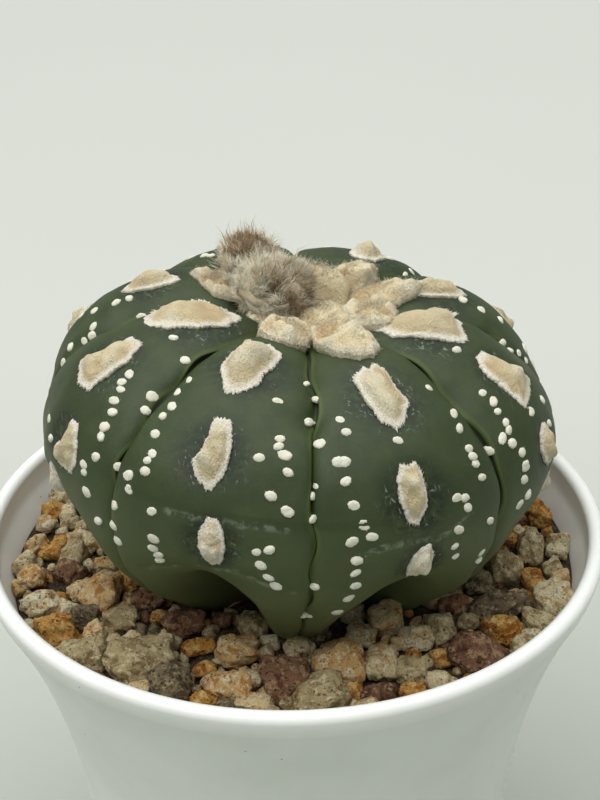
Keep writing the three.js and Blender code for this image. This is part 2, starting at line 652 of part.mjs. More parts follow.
// A stone: an uneven lump with twenty faces, or a blockier one for a small stone.
function stone(centre, half, turn, random) {
  const block = Math.max(...half) < BLOCKY_BELOW;
  const shape = block
    ? new THREE.BoxGeometry(BLOCK_SIDE, BLOCK_SIDE, BLOCK_SIDE)
    : new THREE.IcosahedronGeometry(1, 0);
  const lump = mergeVertices(shape.deleteAttribute("normal").deleteAttribute("uv"), 1e-4);
  const { position } = lump.attributes;
  for (let i = 0; i < position.count; i += 1) {
    const uneven = STONE_LEAST + STONE_UNEVENNESS * random();
    position.setXYZ(i, position.getX(i) * uneven, position.getY(i) * uneven, position.getZ(i) * uneven);
  }
  lump.rotateX(turn * STONE_TIP);
  lump.scale(...half);
  lump.rotateZ(turn);
  lump.translate(centre.x, centre.y, centre.z);
  return solidOf(lump);
}

// Where the line of sight through a place in the picture meets a level.
function atLevel([x, y], level) {
  const sight = EYE.forward.clone()
    .addScaledVector(EYE.right, (x - PICTURE_WIDTH / 2) / FOCAL_LENGTH_PIXELS)
    .addScaledVector(EYE.up, (PICTURE_HEIGHT / 2 - y) / FOCAL_LENGTH_PIXELS);
  return EYE.place.clone().addScaledVector(sight, (level - EYE.place.z) / sight.z);
}

// The stones' places: first those of the picture, then others wherever there is room, then
// grit in the gaps. None touches the plant or the pot's wall.
function stonePlaces(random) {
  const skin = plantRings().flat();
  const places = [];
  const add = (centre, half, { apart, clear }, swing) => {
    const wide = Math.max(half[0], half[1]);
    const fromAxis = Math.hypot(centre.x, centre.y);
    if (fromAxis + wide > insideRadius(centre.z)) {
      return;
    }
    if (skin.some((point) => point.distanceTo(centre) < clear * wide + SEAT_GAP)) {
      return;
    }
    if (places.some((other) => (
      other.centre.distanceTo(centre) < apart * (Math.max(other.half[0], other.half[1]) + wide)))) {
      return;
    }
    places.push({ centre, half, turn: (random() - 0.5) * swing });
  };
  STONE_PIXELS.forEach(([x, y, wide, tall]) => {
    const scale = EYE_DISTANCE / FOCAL_LENGTH_PIXELS;
    const half = [0.5 * wide * scale, 0.5 * tall * scale, STONE_DEPTH * tall * scale];
    const highest = GRAVEL_BED_TOP + (STONE_HIGHEST_SEAT + STONE_CENTRE_DOWN) * half[2];
    const centre = atLevel([x, y], Math.min(STONE_PICTURE_LEVEL, highest));
    centre.z -= STONE_CENTRE_DOWN * half[2];
    add(centre, half, PICTURE_SPACING, STONE_SWING);
  });
  for (let i = 0; i < STONE_TRIES + GRIT_TRIES; i += 1) {
    const grit = i >= STONE_TRIES;
    const size = grit ? GRIT_RADIUS : STONE_MEAN_RADIUS * (0.75 + 0.6 * random());
    const radius = GRAVEL_INNER + GRAVEL_WIDTH * Math.sqrt(random());
    const angle = 2 * Math.PI * random();
    const level = GRAVEL_BED_TOP + (grit ? GRIT_LIFT : STONE_LIFT) + LIFT_RANGE * random();
    const centre = new THREE.Vector3(radius * Math.cos(angle), radius * Math.sin(angle), level);
    const half = [size, size * (0.7 + 0.25 * random()), size * STONE_FLATNESS];
    add(centre, half, grit ? GRIT_SPACING : STONE_SPACING, 2 * Math.PI);
  }
  return places;
}

function gravel(room) {
  const random = randomRow(57);
  const bed = potFill(GRAVEL_BED_BOTTOM, GRAVEL_BED_TOP, BED_SIDES);
  const stones = stonePlaces(random).map(({ centre, half, turn }) => stone(centre, half, turn, random));
  const inside = potFill(GRAVEL_BED_BOTTOM, GRAVEL_CEILING, BED_SIDES);
  return mainBody(union([bed, ...stones]).intersect(inside).subtract(room));
}

// The nodes

function node(name, solid, colour, roughness) {
  const geometry = geometryOf(solid);
  geometry.computeVertexNormals();
  const material = new THREE.MeshStandardMaterial({
    color: colour, roughness, metalness: 0, flatShading: true,
  });
  const result = new THREE.Mesh(geometry, material);
  result.name = name;
  return result;
}

const body = plantBody();
const room = plantBody(1.15 * SEAT_GAP);
const stem = mainBody(union([body, ...ribPads(), ...fleckDomes()]));
const padRoom = union([room, ...ribPads(SEAT_GAP)]);
const budFront = mainBody(bud(BUD_FRONT).subtract(padRoom));
const budFrontRoom = bud(BUD_FRONT, SEAT_GAP);
const budBack = mainBody(bud(BUD_BACK).subtract(budFrontRoom).subtract(padRoom));
const budRoom = budFrontRoom.add(bud(BUD_BACK, SEAT_GAP));
const wool = mainBody(crownWool().subtract(budRoom).subtract(padRoom));

const cactus = new THREE.Group();
cactus.name = "potted_sand_dollar_cactus";
cactus.add(
  node("pot", pot(), 0xeef0ea, 0.35),
  node("soil", potFill(FLOOR_TOP + SEAT_GAP, SOIL_TOP, SOIL_SIDES).subtract(rootHole()), 0x3b2f25, 0.95),
  node("gravel", gravel(room), 0x9a8468, 0.9),
  node("stem", stem, 0x44563c, 0.5),
  node("crown_wool", wool, 0xe9dcc3, 0.95),
  node("bud_front", budFront, 0xb9a794, 0.95),
  node("bud_back", budBack, 0xb9a794, 0.95),
);

export default cactus;
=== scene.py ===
# %% [markdown]
# # A potted sand dollar cactus
# A low plant with eight broad ribs and no spines sits in gravel in a white flared pot. White felt
# flecks run down its ribs, felted pads sit on their crests, and two woolly buds stand on the crown.
# The solids of the part are loaded first and stay as they are. Each piece made here is a finer
# version of one of them, in the same place, so nothing has to be fitted afterwards.

# %% The frame
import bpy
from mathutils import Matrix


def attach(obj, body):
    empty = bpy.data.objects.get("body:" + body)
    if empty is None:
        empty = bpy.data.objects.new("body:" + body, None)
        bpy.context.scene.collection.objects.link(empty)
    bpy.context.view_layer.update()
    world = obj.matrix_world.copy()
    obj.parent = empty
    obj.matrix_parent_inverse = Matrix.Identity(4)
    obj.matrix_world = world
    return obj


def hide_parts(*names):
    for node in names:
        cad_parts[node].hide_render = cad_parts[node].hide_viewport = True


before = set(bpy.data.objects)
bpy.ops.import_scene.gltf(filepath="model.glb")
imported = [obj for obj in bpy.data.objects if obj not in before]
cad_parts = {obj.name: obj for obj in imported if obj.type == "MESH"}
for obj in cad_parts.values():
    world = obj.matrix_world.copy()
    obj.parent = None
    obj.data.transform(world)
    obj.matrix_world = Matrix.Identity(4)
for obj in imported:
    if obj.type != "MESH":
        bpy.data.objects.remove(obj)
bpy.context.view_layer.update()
print("nodes:", sorted(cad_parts))

# %% [markdown]
# ## Sizes
# All sizes are in millimetres, as in the part's own source, and become metres only when a mesh is
# written. The rim's diameter sets the scale; the plant's two half outlines give its shape.

# %% Sizes of the pot
import math
import bmesh
import bpy
import numpy as np
from mathutils import Matrix

MM = 0.001
RIM_DIAMETER = 100
POT_HEIGHT = 85
RIM_ROLL = 1.3
WALL = 1.7
FOOT_WALL_RADIUS = 33.6
FLARE = 17.1
FLARE_DEPTH = 32.6
FOOT_RING_INNER = 31.5
FOOT_RECESS = 1.5
FOOT_CHAMFER = 0.8
FLOOR_TOP = 4
FLOOR_CORNER = 3
UNDER_ROLL = 2.6
DRAIN_RADIUS = 3
DRAIN_CIRCLE = 17
DRAIN_COUNT = 5
SEAT_GAP = 0.3
RIM_LEVEL = POT_HEIGHT - RIM_ROLL
BED_TOP = RIM_LEVEL - 7
BED_BOTTOM = RIM_LEVEL - 14
print(f"rim {RIM_DIAMETER} mm across, its roll's middle {RIM_LEVEL:.1f} mm up")

# %% Sizes of the plant
RIBS = 8
PLANT_CENTRE = np.array([1.0, 1.5, RIM_LEVEL])
TILT_FORWARD = math.radians(1.3)
TILT_RIGHT = math.radians(3.6)
TILT_HEIGHT = 15
TURN = math.radians(2.0)
CREST_LINE = [
    (0, 34.2), (5.9, 35.8), (12.4, 37.4), (19.3, 37.8), (26.2, 36.2), (32.6, 32.8), (37.4, 27.6),
    (39.8, 21.6), (39.2, 15.8), (35.4, 11.6), (29.5, 9.6), (23.5, 6.8), (18, 1.5), (14, -9),
]
GROOVE_LINE = [
    (0, 33.2), (4.9, 34.2), (10.9, 35.8), (17.8, 36.6), (24.9, 35.2), (31.6, 31.8), (36.8, 26.8),
    (39.4, 20.8), (39.2, 14.5), (37.2, 8.6), (33.4, 2.8), (28.6, -2.6), (22, -8), (14.5, -12),
]
CREASE_DEPTH = 1.5
CREASE_WIDTH = 0.9
TAPROOT = [(11.5, -20), (8, -36), (3, -54)]
TAPROOT_TIP = -60
print(f"{RIBS} ribs, {2 * max(r for r, _ in CREST_LINE):.0f} mm across")

# %% [markdown]
# ## Helpers for shapes
# A seeded row of numbers gives the same draws as the part's source, so stones, pads and flecks
# fall where its solids have them. Broad unevenness comes from a sum of a few sine waves in random
# directions: it is smooth, cheap on whole arrays, and the same on every run.

# %% Draws, curves and waves
def random_row(seed):
    state = seed

    def draw():
        nonlocal state
        state = (state * 1664525 + 1013904223) & 0xFFFFFFFF
        return state / 4294967296

    return draw


def along(points, t):
    """Uniform Catmull-Rom through points, t from 0 to 1."""
    points = np.asarray(points, float)
    last = len(points) - 1
    x = np.clip(np.asarray(t, float) * last, 0, last - 1e-9)
    i = x.astype(int)
    f = (x - i)[..., None]
    a, b, c, d = (points[np.clip(i + k, 0, last)] for k in (-1, 0, 1, 2))
    cubic = (3 * b - a - 3 * c + d) * f**3
    return 0.5 * (2 * b + (c - a) * f + (2 * a - 5 * b + 4 * c - d) * f**2 + cubic)


def waves(points, size, seed, count=10):
    """Smooth unevenness, about -1 to 1, with lumps about size across."""
    rng = np.random.default_rng(seed)
    directions = rng.normal(size=(count, 3))
    steepness = rng.uniform(0.7, 1.4, count) * math.pi / size
    directions *= (steepness / np.linalg.norm(directions, axis=1))[:, None]
    phases = rng.uniform(0, 2 * math.pi, count)
    return np.sin(np.asarray(points) @ directions.T + phases).sum(-1) / math.sqrt(count / 2) * 0.7


def smoothstep(low, high, x):
    f = np.clip((x - low) / (high - low), 0, 1)
    return f * f * (3 - 2 * f)


def unit(v):
    return v / np.maximum(np.linalg.norm(v, axis=-1, keepdims=True), 1e-12)


# %% [markdown]
# A mesh is gathered as arrays of points and faces, part by part, and written once. Attributes on
# its points, such as how near a point is to a pad's rim, carry what the finish needs to know.

# %% Gathering and writing a mesh
class Gathered:
    """Points, faces and point attributes of one piece, gathered part by part."""

    def __init__(self, *attributes):
        self.points = []
        self.faces = []
        self.attributes = {name: [] for name in attributes}
        self.count = 0

    def add(self, points, faces, **attributes):
        points = np.asarray(points, float).reshape(-1, 3)
        self.points.append(points)
        self.faces.extend((np.asarray(group) + self.count).tolist() for group in faces)
        for name, values in self.attributes.items():
            values.append(np.broadcast_to(attributes.get(name, 0.0), len(points)).astype(float))
        self.count += len(points)

    def piece(self, name, material, node, slot):
        mesh = bpy.data.meshes.new(name)
        flat = [face for group in self.faces for face in group]
        mesh.from_pydata((np.concatenate(self.points) * MM).tolist(), [], flat)
        for key, values in self.attributes.items():
            layer = mesh.attributes.new(key, "FLOAT", "POINT")
            layer.data.foreach_set("value", np.concatenate(values))
        mesh.shade_smooth()
        mesh.materials.append(material)
        result = bpy.data.objects.new(name, mesh)
        bpy.context.scene.collection.objects.link(result)
        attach(result, "root")
        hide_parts(node)
        triangles = sum(len(face) - 2 for face in flat)
        print(f"{name}: {triangles} triangles")
        return result


def grid_faces(rows, columns, first=0, wrap=True):
    """Quads of a grid of points, row by row; the columns close into a ring if wrap."""
    row = np.arange(rows - 1)[:, None]
    column = np.arange(columns if wrap else columns - 1)[None, :]
    after = (column + 1) % columns
    a, b = first + row * columns + column, first + row * columns + after
    return np.stack([a, a + columns, b + columns, b], -1).reshape(-1, 4)


def fan_faces(pole, first, columns, flip=False):
    """Triangles from a pole to a ring of points."""
    column = np.arange(columns)
    ring = [first + column, first + (column + 1) % columns]
    if flip:
        ring.reverse()
    return np.stack([np.full(columns, pole), *ring], -1)


def closed_rings(first_pole, rings, last_pole):
    """Points and faces of a closed surface from rings between two poles."""
    rows, columns = rings.shape[:2]
    points = np.concatenate([[first_pole], rings.reshape(-1, 3), [last_pole]])
    last = len(points) - 1
    faces = [
        fan_faces(0, 1, columns),
        grid_faces(rows, columns, 1),
        fan_faces(last, last - columns, columns, flip=True),
    ]
    return points, faces


# %% [markdown]
# ## Shader maths
# A finish is written as sums and products of sockets. The small class below wraps a socket, so
# that `1 - mask * 0.5` adds the Math nodes for it. Colours go through Mix nodes, and every other
# node comes from one method that takes its type, its settings and its inputs.

# %% Sockets as expressions
class Value:
    """A shader socket that builds Math nodes when it is used in an expression."""

    def __init__(self, finish, socket):
        self.finish = finish
        self.socket = socket

    def maths(self, operation, *others, **settings):
        made = self.finish.node("Math", {"operation": operation, **settings}, [self, *others])
        return made["Value"]

    def __add__(self, other):
        return self.maths("ADD", other)

    def __mul__(self, other):
        return self.maths("MULTIPLY", other)

    def __sub__(self, other):
        return self.maths("SUBTRACT", other)

    def __rsub__(self, other):
        return self.maths("MULTIPLY", -1).maths("ADD", other)

    __radd__ = __add__
    __rmul__ = __mul__

    def between(self, low, high):
        """0 below low, 1 above high, smooth between; a falling edge where low is above high."""
        settings = {"interpolation_type": "SMOOTHSTEP", "clamp": True}
        rising = self.finish.node("MapRange", settings, {
            "Value": self, "From Min": min(low, high), "From Max": max(low, high),
        })["Result"]
        return rising if low < high else 1 - rising


class Made:
    """A node that was made; its outputs are taken by name."""

    def __init__(self, finish, node):
        self.finish = finish
        self.node = node

    def __getitem__(self, name):
        return Value(self.finish, self.node.outputs[name])


class Nodes:
    """A tree of nodes in the making."""

    def __init__(self, tree):
        self.tree = tree

    def node(self, kind, settings=None, inputs=None):
        made = self.tree.nodes.new("ShaderNode" + kind)
        for key, value in (settings or {}).items():
            setattr(made, key, value)
        pairs = inputs.items() if isinstance(inputs, dict) else enumerate(inputs or [])
        for key, value in pairs:
            self.join(value, made.inputs[key])
        return Made(self, made)

    def join(self, value, socket):
        if isinstance(value, Value):
            self.tree.links.new(value.socket, socket)
        else:
            socket.default_value = value

    def place(self):
        """The point's place in millimetres."""
        coordinates = self.node("TexCoord")["Object"]
        return self.node("VectorMath", {"operation": "SCALE"}, {0: coordinates, "Scale": 1 / MM})["Vector"]

    def stretched(self, vector, x, y, z):
        return self.node("VectorMath", {"operation": "MULTIPLY"}, [vector, (x, y, z)])["Vector"]

    def shifted(self, vector, amount):
        """The place moved by a number in all three directions, so that each stone differs."""
        return self.node("VectorMath", {"operation": "ADD"}, [vector, amount])["Vector"]

    def noise(self, vector, size, detail=3.0, roughness=0.55, warp=0.0):
        """Noise from 0 to 1 with features about size mm across."""
        return self.node("TexNoise", {}, {
            "Vector": vector, "Scale": 1 / size, "Detail": detail, "Roughness": roughness,
            "Distortion": warp,
        })["Fac"]

    def cells(self, vector, size, feature="F1"):
        return self.node("TexVoronoi", {"feature": feature}, {"Vector": vector, "Scale": 1 / size})

    def attribute(self, name):
        return self.node("Attribute", {"attribute_name": name})["Fac"]

    def mix(self, amount, low, high):
        """One colour into another by an amount."""
        made = self.node("Mix", {"data_type": "RGBA", "clamp_factor": True})
        self.join(amount, made.node.inputs[0])
        self.join(low, made.node.inputs[6])
        self.join(high, made.node.inputs[7])
        return Value(self, made.node.outputs[2])


class Finish(Nodes):
    """A material in the making."""

    def __init__(self, name, **constants):
        self.material = bpy.data.materials.new(name)
        self.material.use_nodes = True
        super().__init__(self.material.node_tree)
        self.shader = self.tree.nodes["Principled BSDF"]
        for socket, value in constants.items():
            self.shader.inputs[socket.replace("_", " ")].default_value = value

    def bump(self, height, distance, strength=1.0):
        normal = self.node("Bump", {}, {
            "Height": height, "Distance": distance * MM, "Strength": strength,
        })["Normal"]
        self.join(normal, self.shader.inputs["Normal"])

    def colour(self, value):
        self.join(value, self.shader.inputs["Base Color"])

    def rough(self, value):
        self.join(value, self.shader.inputs["Roughness"])


def rgb(code):
    """A colour from its usual six-digit code, as linear light."""
    parts = [int(code[i:i + 2], 16) / 255 for i in (0, 2, 4)]
    linear = [c / 12.92 if c <= 0.04045 else ((c + 0.055) / 1.055) ** 2.4 for c in parts]
    return (*linear, 1.0)


print("shader maths ready")

# %% [markdown]
# ## The camera
# The rim's ellipse and the plant's outline give the viewpoint: 229 mm from the middle of the rim,
# 33 degrees above it. The lens follows from the focal length in picture widths. The camera's own
# axes are worked out here because places in the picture are used further on.

# %% Camera
PICTURE_WIDTH = 600
PICTURE_HEIGHT = 800
FOCAL_PIXELS = 1400
SENSOR = 36
EYE_DISTANCE = 229
EYE_ELEVATION = math.radians(33.31)
EYE_AIM = math.radians(4.79)
EYE_YAW = math.radians(0.48)
EYE_ROLL = math.radians(-1.03)

eye_place = np.array([
    0, -EYE_DISTANCE * math.cos(EYE_ELEVATION), RIM_LEVEL + EYE_DISTANCE * math.sin(EYE_ELEVATION),
])
pitch = EYE_AIM - EYE_ELEVATION
eye_forward = np.array([
    math.sin(EYE_YAW) * math.cos(pitch), math.cos(EYE_YAW) * math.cos(pitch), math.sin(pitch),
])
level_right = unit(np.cross(eye_forward, [0, 0, 1]))
level_up = np.cross(level_right, eye_forward)
eye_right = math.cos(EYE_ROLL) * level_right + math.sin(EYE_ROLL) * level_up
eye_up = math.cos(EYE_ROLL) * level_up - math.sin(EYE_ROLL) * level_right

camera_data = bpy.data.cameras.new("camera")
camera_data.sensor_width = SENSOR
camera_data.lens = FOCAL_PIXELS / PICTURE_HEIGHT * SENSOR
camera_data.clip_start = 0.01
camera = bpy.data.objects.new("camera", camera_data)
bpy.context.scene.collection.objects.link(camera)
turn = Matrix([eye_right, eye_up, -eye_forward]).transposed().to_4x4()
camera.matrix_world = Matrix.Translation(eye_place * MM) @ turn
bpy.context.scene.camera = camera
print(f"lens {camera_data.lens:.0f} mm")


def in_picture(points):
    """Where points in millimetres fall in the picture."""
    view = points - eye_place
    depth = view @ eye_forward
    x = PICTURE_WIDTH / 2 + FOCAL_PIXELS * (view @ eye_right) / depth
    y = PICTURE_HEIGHT / 2 - FOCAL_PIXELS * (view @ eye_up) / depth
    return np.stack([x, y], -1)


def at_level(x, y, level):
    """Where the sight line through a place in the picture meets a level."""
    sight = eye_forward + eye_right * (x - PICTURE_WIDTH / 2) / FOCAL_PIXELS
    sight = sight + eye_up * (PICTURE_HEIGHT / 2 - y) / FOCAL_PIXELS
    return eye_place + sight * (level - eye_place[2]) / sight[2]


# %% [markdown]
# ## The pot
# The real pot is moulded white plastic: a thin wall that flares like a trumpet into a narrow
# rolled rim. A half outline turned about the axis gives it. The wall's curve is one formula, the
# roll is half a circle, and the drain holes are cut with a Boolean, because they are round.

# %% Pot shape
POT_SIDES = 160
WALL_STEPS = 28
ROLL_STEPS = 12
CORNER_STEPS = 5
DRILL_SIDES = 32
DRILL_MARGIN = 2.0
SHARP_FROM = math.radians(38)


def wall_radius(z):
    return FOOT_WALL_RADIUS + FLARE * np.exp((z - RIM_LEVEL) / FLARE_DEPTH)


def inside_radius(z):
    return wall_radius(np.minimum(z, RIM_LEVEL - UNDER_ROLL)) - WALL


INSIDE_TOP = RIM_LEVEL - UNDER_ROLL
INSIDE_BOTTOM = FLOOR_TOP + FLOOR_CORNER
SOLID_LEVELS = [INSIDE_TOP + (INSIDE_BOTTOM - INSIDE_TOP) * down for down in (0, 0.22, 0.55, 1)]


def solid_inside_radius(z):
    """The inside of the solid pot's wall, which runs in straight stretches between levels."""
    levels = SOLID_LEVELS[::-1]
    return float(np.interp(z, levels, [wall_radius(level) - WALL for level in levels]))


def pot_outline():
    points = [(FOOT_RING_INNER, FOOT_RECESS), (FOOT_RING_INNER + FOOT_RECESS / 3, 0)]
    for corner in np.linspace(-math.pi / 2, 0, CORNER_STEPS):
        across = FOOT_CHAMFER * (math.cos(corner) - 1)
        points.append((wall_radius(FOOT_CHAMFER) + across, FOOT_CHAMFER * (1 + math.sin(corner))))
    for up in np.sin(np.linspace(0.05, 1, WALL_STEPS) * math.pi / 2):
        z = FOOT_CHAMFER + (INSIDE_TOP - FOOT_CHAMFER) * up
        points.append((wall_radius(z), z))
    for angle in np.linspace(0, math.pi, ROLL_STEPS):
        ring = RIM_DIAMETER / 2 - RIM_ROLL
        points.append((ring + RIM_ROLL * math.cos(angle), RIM_LEVEL + RIM_ROLL * math.sin(angle)))
    for down in np.linspace(0, 1, WALL_STEPS) ** 1.2:
        z = INSIDE_TOP + (INSIDE_BOTTOM - INSIDE_TOP) * down
        points.append((inside_radius(z), z))
    for corner in np.linspace(0.2, math.pi / 2, CORNER_STEPS):
        across = FLOOR_CORNER * (math.cos(corner) - 1)
        down = FLOOR_CORNER * math.sin(corner)
        points.append((inside_radius(INSIDE_BOTTOM) + across, INSIDE_BOTTOM - down))
    return np.array(points, float)


def turned(outline, sides):
    """Rings of points of a half outline turned about the axis."""
    angle = np.arange(sides) / sides * 2 * math.pi
    radius, z = outline[:, :1], outline[:, 1:]
    return np.stack([radius * np.cos(angle), radius * np.sin(angle), z + 0 * angle], -1)


def pot_mesh(material):
    pot = Gathered()
    points, faces = closed_rings((0, 0, FOOT_RECESS), turned(pot_outline(), POT_SIDES), (0, 0, FLOOR_TOP))
    pot.add(points, faces)
    shell = pot.piece("pot_shell", material, "pot", "pot_plastic")
    drills = Gathered()
    for i in range(DRAIN_COUNT):
        angle = i / DRAIN_COUNT * 2 * math.pi
        centre = np.array([DRAIN_CIRCLE * math.cos(angle), DRAIN_CIRCLE * math.sin(angle), 0])
        low, high = -DRILL_MARGIN, FLOOR_TOP + DRILL_MARGIN
        rings = turned(np.array([(DRAIN_RADIUS, low), (DRAIN_RADIUS, high)]), DRILL_SIDES) + centre
        drills.add(*closed_rings(centre + (0, 0, low), rings, centre + (0, 0, high)))
    mesh = bpy.data.meshes.new("drills")
    flat = [face for group in drills.faces for face in group]
    mesh.from_pydata((np.concatenate(drills.points) * MM).tolist(), [], flat)
    cutter = bpy.data.objects.new("drills", mesh)
    bpy.context.scene.collection.objects.link(cutter)
    cut = shell.modifiers.new("drain holes", "BOOLEAN")
    cut.object = cutter
    cut.operation = "DIFFERENCE"
    cut.solver = "EXACT"
    evaluated = shell.evaluated_get(bpy.context.evaluated_depsgraph_get())
    drilled = bpy.data.meshes.new_from_object(evaluated)
    shell.modifiers.clear()
    shell.data = drilled
    bpy.data.objects.remove(cutter)
    drilled.shade_smooth()
    drilled.set_sharp_from_angle(angle=SHARP_FROM)
    return shell


# %% [markdown]
# The plastic is satin and not quite even: a faint grey in it, sparse dark specks and a gloss that
# varies a little. The specks come from Voronoi cells, of which only a few are let through, so that
# they are round, rare and sharp. The smear stands for the brownish water stain low on the right,
# but in the photograph's view it does not show.

# %% Pot finish
STAIN_IN_PICTURE = (512, 680)
STAIN_RADIUS = 5.0
STAIN_LEVEL = RIM_LEVEL - 13
SPECK_SIZE = 2.6


def white_plastic():
    finish = Finish("white_plastic", IOR=1.46, Subsurface_Weight=0.08, Subsurface_Scale=0.002)
    place = finish.place()
    broad = finish.noise(place, 22, 3)
    fine = finish.noise(place, 1.6, 4)
    body = finish.mix(broad.between(0.35, 0.7), rgb("f4f6f3"), rgb("eceeea"))
    speck_cells = finish.cells(place, SPECK_SIZE)
    chosen = finish.noise(place, 3.4, 1).between(0.6, 0.66)
    speck = speck_cells["Distance"].between(0.075, 0.045) * chosen
    stained = finish.mix(speck * 0.75, body, rgb("6a5f50"))
    sight = at_level(*STAIN_IN_PICTURE, STAIN_LEVEL)
    centre = unit(sight * (1, 1, 0)) * wall_radius(STAIN_LEVEL) + (0, 0, STAIN_LEVEL)
    apart = finish.node("VectorMath", {"operation": "DISTANCE"}, [place, tuple(centre)])["Value"]
    smear = apart.between(STAIN_RADIUS, 0.5) * finish.noise(place, 1.8, 5, 0.7).between(0.48, 0.72)
    finish.colour(finish.mix(smear * 0.45, stained, rgb("a98f6c")))
    finish.rough(0.27 + broad * 0.1 + fine * 0.07)
    finish.bump(fine * 0.4 + finish.noise(place, 9, 2), 0.05, 0.35)
    return finish.material


pot_mesh(white_plastic())

# %% [markdown]
# ## The plant's body
# Each meridian of the body is a blend of two half outlines: the crest of a rib, which folds in
# under itself, and a groove, which runs on down to the gravel. The blend gives the broad ribs, a
# crease sinks along each groove, and the whole leans a little. The same formula serves the pads
# and flecks, which are laid out on it rather than pushed into it.

# %% Body formula
def leaned(radius, azimuth, height):
    """A place on the plant from radius, azimuth from the front and height over the rim."""
    x = radius * np.sin(azimuth + TURN)
    y = -radius * np.cos(azimuth + TURN)
    z = height - TILT_HEIGHT
    c, s = math.cos(TILT_RIGHT), math.sin(TILT_RIGHT)
    x, z = x * c + z * s, z * c - x * s
    c, s = math.cos(TILT_FORWARD), math.sin(TILT_FORWARD)
    y, z = y * c - z * s, y * s + z * c
    return np.stack([x, y, z + TILT_HEIGHT], -1) + PLANT_CENTRE


def groove_nearness(azimuth):
    """0 in a groove, 1 on a crest."""
    phase = azimuth * RIBS / (2 * math.pi)
    return np.abs((phase + 0.5) % 1 - 0.5) * 2


def plant(azimuth, t):
    """Points of the body: t runs from the crown, 0, to the neck, 1."""
    azimuth, t = np.broadcast_arrays(np.asarray(azimuth, float), np.asarray(t, float))
    u = groove_nearness(azimuth)
    power = 1 + 0.8 * np.minimum(1, np.maximum(t - 0.5, 0) * 5)
    low_half = (0.5 - 0.5 * np.cos(math.pi * u)) ** power
    high = np.where(t < 0.5, np.sin(u * math.pi / 2) ** 0.9, low_half)
    crest, groove = along(CREST_LINE, t), along(GROOVE_LINE, t)
    radius, height = np.moveaxis(groove + (crest - groove) * high[..., None], -1, 0)
    from_groove = radius * u * math.pi / RIBS
    crease = CREASE_DEPTH * np.exp(-from_groove / CREASE_WIDTH) * np.minimum(1, radius / 10)
    radius = radius - 0.8 * crease
    height = height - 0.5 * crease * np.clip((height - 20) / 10, 0, 1)
    return leaned(radius, azimuth, height)


def plant_frame(azimuth, t, step=1e-3):
    """Point, downhill, sideways and outward directions, and millimetres per unit of t and azimuth."""
    point = plant(azimuth, t)
    down = (plant(azimuth, t + step) - plant(azimuth, t - step)) / (2 * step)
    side = (plant(azimuth + step, t) - plant(azimuth - step, t)) / (2 * step)
    out = unit(np.cross(down, side))
    per_t, per_azimuth = np.linalg.norm(down, axis=-1), np.linalg.norm(side, axis=-1)
    return point, unit(down), unit(np.cross(out, down)), out, per_t, per_azimuth


# %% [markdown]
# ## Where pads and flecks are
# Pads are listed rib by rib. Flecks on the near side are at their places in the picture, found
# on the body by the nearest of many sample points; those on the far side follow a rule. Both
# lists and both rows of draws are those of the part's source.

# %% Pads and flecks
RIB_PADS = {
    -22.5: [(0.255, 10.5, 5.2, -0.5), (0.415, 9.2, 4.6, -0.5), (0.557, 7.4, 3.9, 2.5)],
    22.5: [(0.312, 10.8, 5.2, -1), (0.478, 9.6, 4.2, -1.5), (0.605, 6.2, 3.8, 0)],
    67.5: [(0.228, 13.0, 5.0, -0.5), (0.372, 8.8, 4.6, -2), (0.512, 6.8, 4.2, -3), (0.62, 5.6, 3.6, 0)],
    112.5: [(0.262, 12.4, 5.2, -3), (0.45, 8.8, 4.6, 1), (0.58, 7.2, 4.0, 0)],
    157.5: [(0.288, 9.0, 5.4, -6), (0.44, 8.6, 4.4, 2), (0.575, 6.4, 3.8, 0)],
    202.5: [(0.265, 10.2, 5.0, 1), (0.4, 9.0, 4.6, -1), (0.545, 7.6, 4.0, 1)],
    247.5: [(0.292, 10.6, 5.0, 2), (0.475, 8.4, 4.4, 0), (0.6, 6.6, 3.8, -1)],
    292.5: [(0.205, 13.2, 5.0, -1), (0.365, 9.8, 4.8, 1), (0.508, 7.6, 4.4, 4), (0.62, 5.6, 3.6, 0)],
}
PAD_HEIGHT = 1.1
PAD_SIDES = 7
